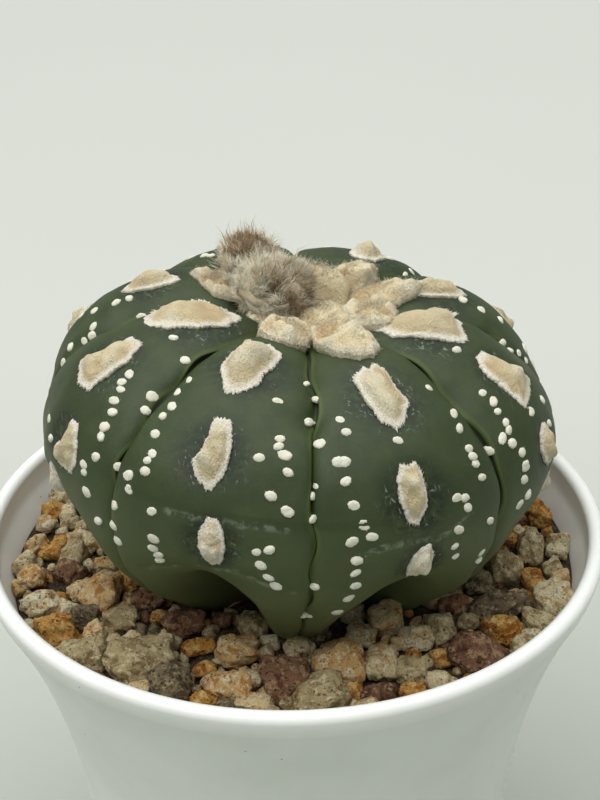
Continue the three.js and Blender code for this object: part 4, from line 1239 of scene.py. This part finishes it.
def bud(name, node, material, centre, half, lean, seed, locks, per_lock, brown_side, length):
    piece = Gathered("brown", "along", "shade")
    middle = crown_place(*centre)
    half = np.array(half, float)
    core, faces, _ = lumpy_ball(middle, half * CORE_SHARE, seed + 200, 26, 48, 0.1)
    piece.add(core, faces, brown=0.5, along=0.35, shade=0.3)
    lean = unit(np.array(lean, float))
    ball, way, lock_length, lock_tip, lock_brown = bud_locks(
        middle, half, lean, seed, locks, brown_side, length,
    )
    own = np.repeat(np.arange(locks), per_lock)
    count = len(own)
    around = unit(ball[own] + 0.16 * hair_rng.normal(size=(count, 3)))
    roots = middle + around * half * CORE_SHARE
    free = hair_rng.uniform(size=count) < FREE_SHARE
    pull = np.where(free, 0.0, LOCK_PULL * hair_rng.uniform(0.6, 1.1, count))[:, None]
    loose = roots + way[own] * lock_length[own][:, None] + 0.3 * hair_rng.normal(size=(count, 3))
    stray = unit(around / half) + 0.5 * lean + 0.35 * hair_rng.normal(size=(count, 3))
    wild = roots + stray * 0.75 * length
    tips = np.where(free[:, None], wild, loose + (lock_tip[own] - loose) * pull)
    lengths = np.linalg.norm(tips - roots, axis=1)
    brown = np.clip(lock_brown[own] + 0.22 * hair_rng.normal(size=count) + 0.3 * free, 0, 1)
    made, hair_faces = hairs(roots, tips - roots, lengths, HAIR_RADIUS, 0.5)
    piece.add(
        made, hair_faces, brown=hair_values(count, brown), along=np.tile(HAIR_ALONG, count),
        shade=hair_values(count, hair_rng.uniform(size=count)),
    )
    return piece.piece(name, material, node, "bud_hair")


# %% Hair finish
def bud_hair(name):
    finish = Finish(name, Roughness=0.85, Sheen_Weight=0.15, Subsurface_Weight=0.08, Subsurface_Scale=0.0005)
    place = finish.place()
    shade = finish.attribute("shade")
    brown = (finish.attribute("brown") + (finish.noise(place, 1.4, 2) - 0.5) * 0.3).between(0.2, 0.9)
    pale = finish.mix(shade, rgb("dacfb0"), rgb("f5eedb"))
    dark = finish.mix(shade, rgb("785d40"), rgb("c2aa84"))
    hair = finish.mix(brown, pale, dark)
    # Painted shade: hairs darken toward their roots, and the core ball under them darkens too, as deep in
    # the fur.
    root_shade = 1 - finish.attribute("along").between(0.0, 0.7)
    finish.colour(finish.mix(root_shade * (brown * 0.3 + 0.1), hair, rgb("4a3b2a")))
    finish.bump(finish.noise(place, 0.4, 3), 0.15, 0.6)
    return finish.material


hair_finish = bud_hair("bud_hair")
bud(
    "bud_front_hair", "bud_front", hair_finish, **BUD_FRONT, locks=230, per_lock=46,
    brown_side=(0.45, -0.75, 0.4), length=3.0,
)
bud(
    "bud_back_hair", "bud_back", hair_finish, **BUD_BACK, locks=170, per_lock=42,
    brown_side=(0.2, -0.1, 1.0), length=2.7,
)

# %% [markdown]
# ## The gravel
# Crushed mixed stone, four to thirteen millimetres: cream pumice with rusty patches, ochre, olive
# grey, and dark red lava. A stone starts as a fine ball in the shape of its solid. Random planes
# flatten it into facets, as breaking does, and then waves roughen it. The stones of the picture
# lie at their own places; the rest fill in by the same rule and draws as in the part's source.
# Where room is left, small stones that the solid leaves out come last.

# %% Stone places
STONE_PIXELS = [
    (140, 653, 80, 62, "olive"), (170, 678, 46, 44, "dark"), (82, 651, 48, 43, "olive"),
    (41, 600, 48, 31, "cream"), (56, 626, 46, 40, "ochre"), (101, 587, 43, 48, "rusty"),
    (147, 594, 37, 29, "lava"), (184, 619, 42, 33, "lava"), (119, 615, 37, 30, "olive"),
    (85, 613, 30, 28, "dark"), (237, 646, 50, 41, "rusty"), (197, 644, 38, 21, "ochre"),
    (254, 623, 34, 26, "olive"), (226, 682, 48, 36, "rusty"), (256, 701, 34, 24, "rusty"),
    (73, 550, 31, 34, "olive"), (41, 573, 66, 25, "cream"), (97, 537, 30, 28, "cream"),
    (52, 508, 28, 26, "ochre"), (69, 520, 26, 24, "olive"), (34, 529, 30, 26, "cream"),
    (51, 550, 26, 22, "ochre"), (138, 687, 26, 20, "rusty"), (298, 644, 33, 25, "cream"),
    (287, 673, 46, 48, "lava"), (320, 690, 59, 47, "olive"), (341, 657, 53, 52, "rusty"),
    (381, 657, 37, 44, "cream"), (413, 666, 36, 32, "olive"), (438, 678, 26, 23, "cream"),
    (386, 613, 37, 44, "rusty"), (416, 632, 36, 30, "cream"), (442, 623, 31, 38, "olive"),
    (476, 648, 58, 55, "lava"), (503, 625, 44, 36, "ochre"), (499, 602, 62, 35, "dark"),
    (505, 562, 39, 51, "olive"), (530, 542, 31, 52, "olive"), (551, 593, 40, 43, "cream"),
    (538, 619, 32, 26, "olive"), (558, 542, 28, 34, "cream"), (531, 504, 28, 24, "ochre"),
    (553, 565, 28, 26, "olive"), (478, 579, 36, 30, "dark"), (453, 604, 34, 26, "lava"),
    (379, 692, 36, 24, "lava"), (411, 688, 28, 22, "ochre"), (361, 632, 34, 28, "cream"),
    (205, 667, 26, 20, "ochre"), (203, 696, 30, 20, "ochre"),
]
LATE_STONE_PIXELS = [
    (41, 573, 60, 25, "cream"), (34, 529, 28, 26, "ochre"), (107, 562, 30, 26, "rusty"),
    (68, 521, 22, 20, "olive"), (84, 525, 22, 20, "olive"), (221, 617, 26, 22, "lava"),
    (253, 677, 22, 20, "cream"), (229, 705, 22, 16, "dark"), (415, 610, 28, 24, "olive"),
    (442, 655, 26, 22, "ochre"), (531, 574, 24, 22, "ochre"), (350, 688, 26, 20, "ochre"),
    (510, 648, 26, 22, "ochre"), (532, 633, 24, 20, "cream"), (560, 575, 24, 22, "rusty"),
    (20, 585, 20, 20, "rusty"), (24, 560, 22, 18, "ochre"), (40, 515, 20, 18, "rusty"),
    (170, 640, 24, 18, "cream"), (160, 615, 22, 18, "ochre"), (300, 700, 22, 16, "olive"),
    (270, 640, 22, 18, "cream"), (400, 640, 22, 18, "rusty"), (455, 690, 24, 16, "rusty"),
    (480, 670, 26, 18, "olive"), (120, 560, 24, 20, "dark"), (60, 540, 20, 18, "ochre"),
]
LATE_SPACING = (0.5, 0.7)
STONE_PICTURE_LEVEL = RIM_LEVEL - 4.5
STONE_CENTRE_DOWN = 0.4
STONE_HIGHEST_SEAT = 0.45
STONE_DEPTH = 0.42
STONE_SWING = 0.6
STONE_MEAN_RADIUS = 2.8
STONE_TRIES = 1500
GRIT_TRIES = 100
GRIT_RADIUS = 1.6
STONE_FLATNESS = 0.75
STONE_LIFT = 0.6
GRIT_LIFT = 0.2
LIFT_RANGE = 1.2
PICTURE_SPACING = (0.45, 0.62)
STONE_SPACING = (0.8, 1.05)
GRIT_SPACING = (0.84, 1.05)
SMALL_INNER = 15
SMALL_WIDTH = 31
SMALL_TRIES = 3600
SMALL_SPACING = (0.62, 1.0)
GRAVEL_INNER = 20
GRAVEL_WIDTH = 27
STONE_KINDS = ["cream", "rusty", "ochre", "olive", "lava", "dark"]
KIND_SHARES = [0.25, 0.2, 0.13, 0.22, 0.12, 0.08]
SMALL_KIND_SHARES = [0.2, 0.22, 0.16, 0.2, 0.12, 0.1]


def solid_skin():
    """Points of the plant's solid, as coarse as the part's source has them."""
    steps = [0, 0.09, 0.36, 0.7]
    half = math.pi / RIBS
    around = []
    for rib in range(RIBS):
        groove = rib * 2 * half
        around += [groove + u * half for u in steps] + [groove + half]
        around += [groove + (2 - u) * half for u in steps[:0:-1]]
    around = np.array(around)
    rings = [plant(around, i / 15) for i in range(1, 16)]
    rings += [leaned(radius, around, height) for radius, height in TAPROOT]
    return np.concatenate(rings)


class Bed:
    """Stones as they are laid: each keeps clear of the plant, the wall and, mostly, the others."""

    def __init__(self):
        self.skin = solid_skin()
        self.centres = []
        self.halves = []
        self.turns = []
        self.kinds = []

    def lay(self, centre, half, spacing, swing, kind, draw):
        apart, clear = spacing
        wide = max(half[0], half[1])
        if math.hypot(centre[0], centre[1]) + wide > solid_inside_radius(centre[2]):
            return
        if np.linalg.norm(self.skin - centre, axis=1).min() < clear * wide + SEAT_GAP:
            return
        if self.centres:
            gaps = np.linalg.norm(np.array(self.centres) - centre, axis=1)
            widths = np.array(self.halves)[:, :2].max(1)
            if (gaps < apart * (widths + wide)).any():
                return
        self.centres.append(centre)
        self.halves.append(half)
        self.turns.append((draw() - 0.5) * swing)
        self.kinds.append(kind)

    def lay_seen(self, x, y, wide, tall, kind, spacing, draw):
        """A stone as wide and tall as it is in the picture, under its own pixel."""
        scale = EYE_DISTANCE / FOCAL_PIXELS
        half = [0.5 * wide * scale, 0.5 * tall * scale, STONE_DEPTH * tall * scale]
        highest = BED_TOP + (STONE_HIGHEST_SEAT + STONE_CENTRE_DOWN) * half[2]
        centre = at_level(x, y, min(STONE_PICTURE_LEVEL, highest))
        centre[2] -= STONE_CENTRE_DOWN * half[2]
        self.lay(centre, half, spacing, STONE_SWING, kind, draw)


def laid_stones():
    bed = Bed()
    draw = random_row(57)
    kind_rng = np.random.default_rng(5)
    for stone in STONE_PIXELS:
        bed.lay_seen(*stone, PICTURE_SPACING, draw)
    shown = len(bed.centres)
    for i in range(STONE_TRIES + GRIT_TRIES):
        grit = i >= STONE_TRIES
        size = GRIT_RADIUS if grit else STONE_MEAN_RADIUS * (0.75 + 0.6 * draw())
        radius = GRAVEL_INNER + GRAVEL_WIDTH * math.sqrt(draw())
        angle = 2 * math.pi * draw()
        level = BED_TOP + (GRIT_LIFT if grit else STONE_LIFT) + LIFT_RANGE * draw()
        centre = np.array([radius * math.cos(angle), radius * math.sin(angle), level])
        half = [size, size * (0.7 + 0.25 * draw()), size * STONE_FLATNESS]
        kind = kind_rng.choice(STONE_KINDS, p=KIND_SHARES)
        bed.lay(centre, half, GRIT_SPACING if grit else STONE_SPACING, 2 * math.pi, kind, draw)
    ruled = len(bed.centres)
    fill_draw = random_row(91)
    for stone in LATE_STONE_PIXELS:
        bed.lay_seen(*stone, LATE_SPACING, fill_draw)
    late = len(bed.centres)
    for i in range(SMALL_TRIES):
        size = 0.9 + 1.9 * fill_draw() ** 1.5
        radius = SMALL_INNER + SMALL_WIDTH * math.sqrt(fill_draw())
        angle = 2 * math.pi * fill_draw()
        level = BED_TOP - 0.6 + 1.1 * fill_draw()
        centre = np.array([radius * math.cos(angle), radius * math.sin(angle), level])
        kind = kind_rng.choice(STONE_KINDS, p=SMALL_KIND_SHARES)
        bed.lay(centre, [size, size * 0.8, size * 0.8], SMALL_SPACING, 2 * math.pi, kind, fill_draw)
    print(f"stones: {shown} of the picture, {ruled - shown} by rule")
    print(f"added: {late - ruled} of the picture, {len(bed.centres) - late} small")
    bed.draw = draw
    return bed


# %% Stone shapes
BLOCKY_BELOW = 4.6
BLOCK_HALF = 0.725
BLOCK_CORNERS = [
    (1, 1, 1), (1, 1, -1), (1, -1, 1), (1, -1, -1), (-1, 1, -1), (-1, 1, 1), (-1, -1, -1), (-1, -1, 1),
]
BLOCK_FACES = [
    (0, 2, 1), (2, 3, 1), (4, 6, 5), (6, 7, 5), (4, 5, 1), (5, 0, 1),
    (7, 6, 2), (6, 3, 2), (5, 7, 0), (7, 2, 0), (1, 3, 4), (3, 6, 4),
]
CORNER_SHARPNESS = 9
FULLNESS = 1.26
CHIPS = 16
FINE_ABOVE = [(5.3, 5), (2.4, 4), (1.3, 3), (0, 2)]


def twenty_faced():
    """Corners, in the source's order, and faces of the twenty-faced ball."""
    g = (1 + math.sqrt(5)) / 2
    corners = [
        (-1, g, 0), (1, g, 0), (-1, -g, 0), (1, -g, 0), (0, -1, g), (0, 1, g),
        (0, -1, -g), (0, 1, -g), (g, 0, -1), (g, 0, 1), (-g, 0, -1), (-g, 0, 1),
    ]
    faces = [
        (0, 11, 5), (0, 5, 1), (0, 1, 7), (0, 7, 10), (0, 10, 11), (1, 5, 9), (5, 11, 4), (11, 10, 2),
        (10, 7, 6), (7, 1, 8), (3, 9, 4), (3, 4, 2), (3, 2, 6), (3, 6, 8), (3, 8, 9), (4, 9, 5),
        (2, 4, 11), (6, 2, 10), (8, 6, 7), (9, 8, 1),
    ]
    order = list(dict.fromkeys(corner for a, b, c in faces for corner in (b, c, a)))
    place = {corner: i for i, corner in enumerate(order)}
    return unit(np.array(corners, float))[order], [tuple(place[corner] for corner in face) for face in faces]


BALL_CORNERS, BALL_FACES = twenty_faced()


def ball(subdivisions):
    mesh = bmesh.new()
    bmesh.ops.create_icosphere(mesh, subdivisions=subdivisions, radius=1)
    points = np.array([v.co[:] for v in mesh.verts])
    faces = np.array([[v.index for v in face.verts] for face in mesh.faces])
    mesh.free()
    return points, faces


BALLS = {size: ball(size) for size in (2, 3, 4, 5)}


def lump_corners(block, draw):
    """The uneven corners of a stone's solid, and its faces' corners: a block or a twenty-faced ball."""
    if block:
        corners = BLOCK_HALF * np.array(BLOCK_CORNERS, float)
        faces = BLOCK_FACES
    else:
        corners, faces = BALL_CORNERS, BALL_FACES
    uneven = np.array([0.84 + 0.34 * draw() for _ in corners])
    return corners * uneven[:, None], faces


def to_faces(directions, corners, faces):
    """How far each direction runs to a lump's faces, with the corners a little rounded."""
    a, b, c = (corners[np.array(faces)[:, k]] for k in range(3))
    normal = unit(np.cross(b - a, c - a))
    offset = (normal * a).sum(1)
    normal, offset = normal * np.sign(offset)[:, None], np.abs(offset)
    facing = np.maximum(directions @ normal.T / offset, 0)
    return (facing**CORNER_SHARPNESS).sum(1) ** (-1 / CORNER_SHARPNESS)


def broken_stone(half, angle, draw, seed, fine):
    """A stone about its own centre: the solid's own lump, chipped by planes and roughened."""
    corners, faces = lump_corners(max(half) < BLOCKY_BELOW, draw)
    c, s = math.cos(angle * 5), math.sin(angle * 5)
    tip = np.array([[1, 0, 0], [0, c, s], [0, -s, c]])
    directions, ball_faces = BALLS[fine]
    points = directions * FULLNESS * to_faces(directions, corners, faces)[:, None]
    rng = np.random.default_rng(seed)
    reach = np.linalg.norm(points, axis=1).mean()
    for _ in range(CHIPS):
        facing = unit(rng.normal(size=3))
        over = np.maximum(points @ facing - reach * rng.uniform(0.74, 0.98), 0)
        points -= 0.9 * over[:, None] * facing
    rough = 0.09 * waves(directions, 0.7, seed, 8) + 0.06 * waves(directions, 0.28, seed + 1, 12)
    if fine > 3:
        rough += 0.03 * waves(directions, 0.13, seed + 2, 14)
        rough -= 0.11 * np.maximum(waves(directions, 0.32, seed + 3, 14) - 0.4, 0)
    points *= (1 + rough)[:, None]
    points = points @ tip * half
    c, s = math.cos(angle), math.sin(angle)
    return points @ np.array([[c, s, 0], [-s, c, 0], [0, 0, 1]]), ball_faces


# %% [markdown]
# Each kind of stone has its own finish, and each stone in it its own tone and its own piece of the noise, so
# that no two look alike. Pumice and ochre are dusty with rusty patches and small pits; lava is darker, with
# pale mineral dust in its pores. The pits and the fine dips of the grain are painted dark, partly as real
# dark specks and partly as painted shade.

# %% Stone finishes
def stone_finish(name, base, second, patch, dust, specks_and_pit_shade):
    finish = Finish(name, Specular_IOR_Level=0.2)
    own = finish.attribute("own")
    place = finish.shifted(finish.place(), own * 37.0)
    broad = finish.noise(place, 2.6, 4, 0.6)
    crumb = finish.noise(place, 1.3, 8, 0.72)
    grain = finish.noise(place, 0.4, 5, 0.75)
    body = finish.mix((own * 0.9 + broad * 0.8 - 0.1).between(0.25, 1.0), rgb(base), rgb(second))
    body = finish.mix(finish.noise(place, 2.0, 5, 0.6, 0.5).between(0.5, 0.6) * 0.85, body, rgb(patch))
    body = finish.mix(crumb.between(0.5, 0.6) * 0.8, body, rgb(dust))
    # The pores and the fine dips of the grain are painted dark: partly real dark specks, partly painted
    # shade in the pits.
    pores = finish.cells(finish.stretched(place, 1, 1, 0.8), 0.75)["Distance"].between(0.32, 0.12)
    pores = pores * finish.noise(place, 2.1, 2).between(0.42, 0.58)
    body = finish.mix(pores * 0.7, body, rgb(specks_and_pit_shade))
    finish.colour(finish.mix(grain.between(0.5, 0.34) * 0.6, body, rgb(specks_and_pit_shade)))
    finish.rough(0.8 + grain * 0.2)
    finish.bump(crumb * 1.5 + grain * 0.6 - pores * 0.7, 0.8, 1.0)
    return finish.material


STONE_FINISHES = {
    "cream": ("e6d09e", "f4e6bd", "c8985a", "faf2d8", "705a38"),
    "rusty": ("e0b678", "f0d4a0", "c48240", "faecc8", "6e4a26"),
    "ochre": ("c78d40", "dda85c", "99591f", "efd08c", "583816"),
    "olive": ("bba67a", "d2c196", "957c52", "eddeb6", "4e422b"),
    "lava": ("7f5c46", "966e53", "5a3a2a", "bea07c", "291911"),
    "dark": ("756550", "8e7e62", "4c3f30", "bfae88", "241d15"),
}


def inside_pot(points):
    """Points kept inside the wall and under the rim, as the bed's solid is."""
    points = points.copy()
    points[:, 2] = np.minimum(points[:, 2], RIM_LEVEL - 1)
    reach = np.hypot(points[:, 0], points[:, 1])
    limit = inside_radius(points[:, 2]) - SEAT_GAP
    points[:, :2] *= np.minimum(1, limit / reach)[:, None]
    return points


def gravel_pieces():
    bed = laid_stones()
    pieces = {kind: Gathered("own") for kind in STONE_KINDS}
    rng = np.random.default_rng(8)
    for i, (centre, half, angle, kind) in enumerate(zip(bed.centres, bed.halves, bed.turns, bed.kinds)):
        fine = next(level for least, level in FINE_ABOVE if max(half) > least)
        points, faces = broken_stone(np.array(half), angle, bed.draw, 1000 + i, fine)
        pieces[kind].add(inside_pot(points + centre), [faces], own=rng.uniform())
    for kind, piece in pieces.items():
        material = stone_finish(f"stone_{kind}", *STONE_FINISHES[kind])
        piece.piece(f"gravel_{kind}", material, "gravel", "gravel_stone")


gravel_pieces()

# %% [markdown]
# Under the stones lies finer grit, seen only in the gaps and in the hollows under the ribs. Its near-black
# browns are painted shade for those gaps and hollows. It is a ring between the plant's neck and the wall
# with a crumbly top: a height field in polar steps, closed below, because the gaps need a dark floor of
# painted shade rather than a hole.

# %% Grit bed
def neck_radius(azimuth, level):
    """How far the body reaches from its own axis at a level near the gravel."""
    t = np.linspace(0.7, 1.0, 200)
    point = plant(azimuth[:, None], t[None, :])
    below = np.abs(point[..., 2] - level).argmin(1)
    chosen = point[np.arange(len(azimuth)), below]
    return chosen[:, :2]


GRIT_AROUND = 240
GRIT_ROWS = 40


def grit_and_shade_bed(material):
    around, rows = GRIT_AROUND, GRIT_ROWS
    azimuth = np.arange(around) / around * 2 * math.pi
    inner = neck_radius(azimuth, BED_TOP)
    centre = inner.mean(0)
    inner = centre + (inner - centre) * (1 + 0.5 / np.linalg.norm(inner - centre, axis=1))[:, None]
    direction = unit(inner - centre)
    outer = direction * (inside_radius(BED_TOP) - SEAT_GAP)
    f = np.linspace(0, 1, rows)[:, None, None]
    flat = inner + (outer - inner) * f
    top = np.concatenate([flat, np.full((rows, around, 1), BED_TOP - 0.3)], -1)
    crumbs = 0.35 * waves(top, 1.6, 61, 16) + 0.25 * waves(top, 0.9, 62, 16)
    top[..., 2] += crumbs * np.minimum(1, 6 * (1 - f[..., 0])) * np.minimum(1, 6 * f[..., 0] + 0.2)
    low_outer = direction * (inside_radius(BED_BOTTOM) - SEAT_GAP)
    rings = np.concatenate([
        top,
        np.concatenate([low_outer, np.full((around, 1), BED_BOTTOM)], -1)[None],
        np.concatenate([inner, np.full((around, 1), BED_BOTTOM)], -1)[None],
    ])
    rings = np.concatenate([rings, rings[:1]])
    piece = Gathered("own")
    count = len(rings) - 1
    faces = grid_faces(count + 1, around)
    faces = np.where(faces >= count * around, faces - count * around, faces)
    piece.add(rings[:-1], [faces[:, ::-1]], own=0.5)
    return piece.piece("grit_and_shade_bed", material, "gravel", "gravel_stone")


# The grit's near-black browns are painted shade for the gaps between the stones.
grit_and_shade_bed(stone_finish("grit", "42362a", "544635", "5f4a34", "77654a", "18120c"))

# %% [markdown]
# ## The potting mix
# Only the drain holes show it. The solid is kept as it is and gets a crumbly dark finish.

# %% Soil finish
def potting_mix():
    finish = Finish("potting_mix", Specular_IOR_Level=0.2)
    place = finish.place()
    crumbs = finish.cells(place, 1.4)["Distance"]
    fibres = finish.noise(place, 0.8, 6, 0.7)
    dark = finish.mix(fibres.between(0.4, 0.7), rgb("1f1712"), rgb("3b2c20"))
    finish.colour(finish.mix(crumbs.between(0.45, 0.2) * 0.5, dark, rgb("5b4733")))
    finish.rough(0.85 + fibres * 0.15)
    finish.bump(fibres + crumbs, 0.6, 1.0)
    return finish.material


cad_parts["soil"].data.materials[0] = potting_mix()
print("soil keeps its solid")

# %% [markdown]
# ## Floor and light
# A plain pale floor, with painted shade making it darker on the near side, runs out of the picture on all
# sides. One broad lamp overhead and a little to the left gives the soft shade under the ribs, a weaker one
# fills from the front left, and the pale world lifts the shadows, as white walls do.

# %% Floor
FLOOR_REACH = 4.0
FLOOR_PALE_FROM = 260
FLOOR_SHADE_TO = -160


def floor():
    mesh = bpy.data.meshes.new("floor")
    corners = [(x * FLOOR_REACH, y * FLOOR_REACH, 0) for x, y in ((-1, -1), (1, -1), (1, 1), (-1, 1))]
    mesh.from_pydata(corners, [], [(0, 1, 2, 3)])
    finish = Finish("floor", Roughness=0.8, Specular_IOR_Level=0.2)
    place = finish.place()
    # Painted shade: the floor darkens toward the near side.
    near_painted_shade = finish.node("SeparateXYZ", {}, {"Vector": place})["Y"].between(FLOOR_PALE_FROM, FLOOR_SHADE_TO)
    pale = finish.mix(finish.noise(place, 300, 2), rgb("c3c5bf"), rgb("c7c9c3"))
    finish.colour(finish.mix(near_painted_shade, pale, rgb("9ba197")))
    mesh.materials.append(finish.material)
    result = bpy.data.objects.new("floor", mesh)
    bpy.context.scene.collection.objects.link(result)


floor()


# %% Light
def aimed(name, data, place):
    """A lamp at a place, shining at the plant."""
    result = bpy.data.objects.new(name, data)
    away = unit(np.array(place, float) - AIM)
    right = unit(np.cross([0, 0.001, 1], away))
    turn = Matrix([right, np.cross(away, right), away]).transposed().to_4x4()
    result.matrix_world = Matrix.Translation(place) @ turn
    bpy.context.scene.collection.objects.link(result)


AIM = np.array([0, 0, 0.08])
sky = bpy.data.lights.new("sky", "SUN")
sky.energy = 2.15
sky.angle = math.radians(80)
aimed("sky", sky, (-0.08, 0.05, 1.0))
window = bpy.data.lights.new("window", "AREA")
window.shape = "DISK"
window.size = 0.5
window.energy = 1.1
window.color = (1.0, 0.99, 0.96)
aimed("window", window, (-0.3, -0.3, 0.7))

world = bpy.data.worlds.new("pale room")
world.use_nodes = True
room = Nodes(world.node_tree)
background = world.node_tree.nodes["Background"]
background.inputs["Color"].default_value = (0.97, 1.0, 0.96, 1)
upward = room.node("SeparateXYZ", {}, {"Vector": room.node("TexCoord")["Generated"]})["Z"]
room.join(upward.between(-0.1, 1.0) * 0.62 + 0.1, background.inputs["Strength"])
bpy.context.scene.world = world
bpy.context.scene.view_settings.view_transform = "Standard"
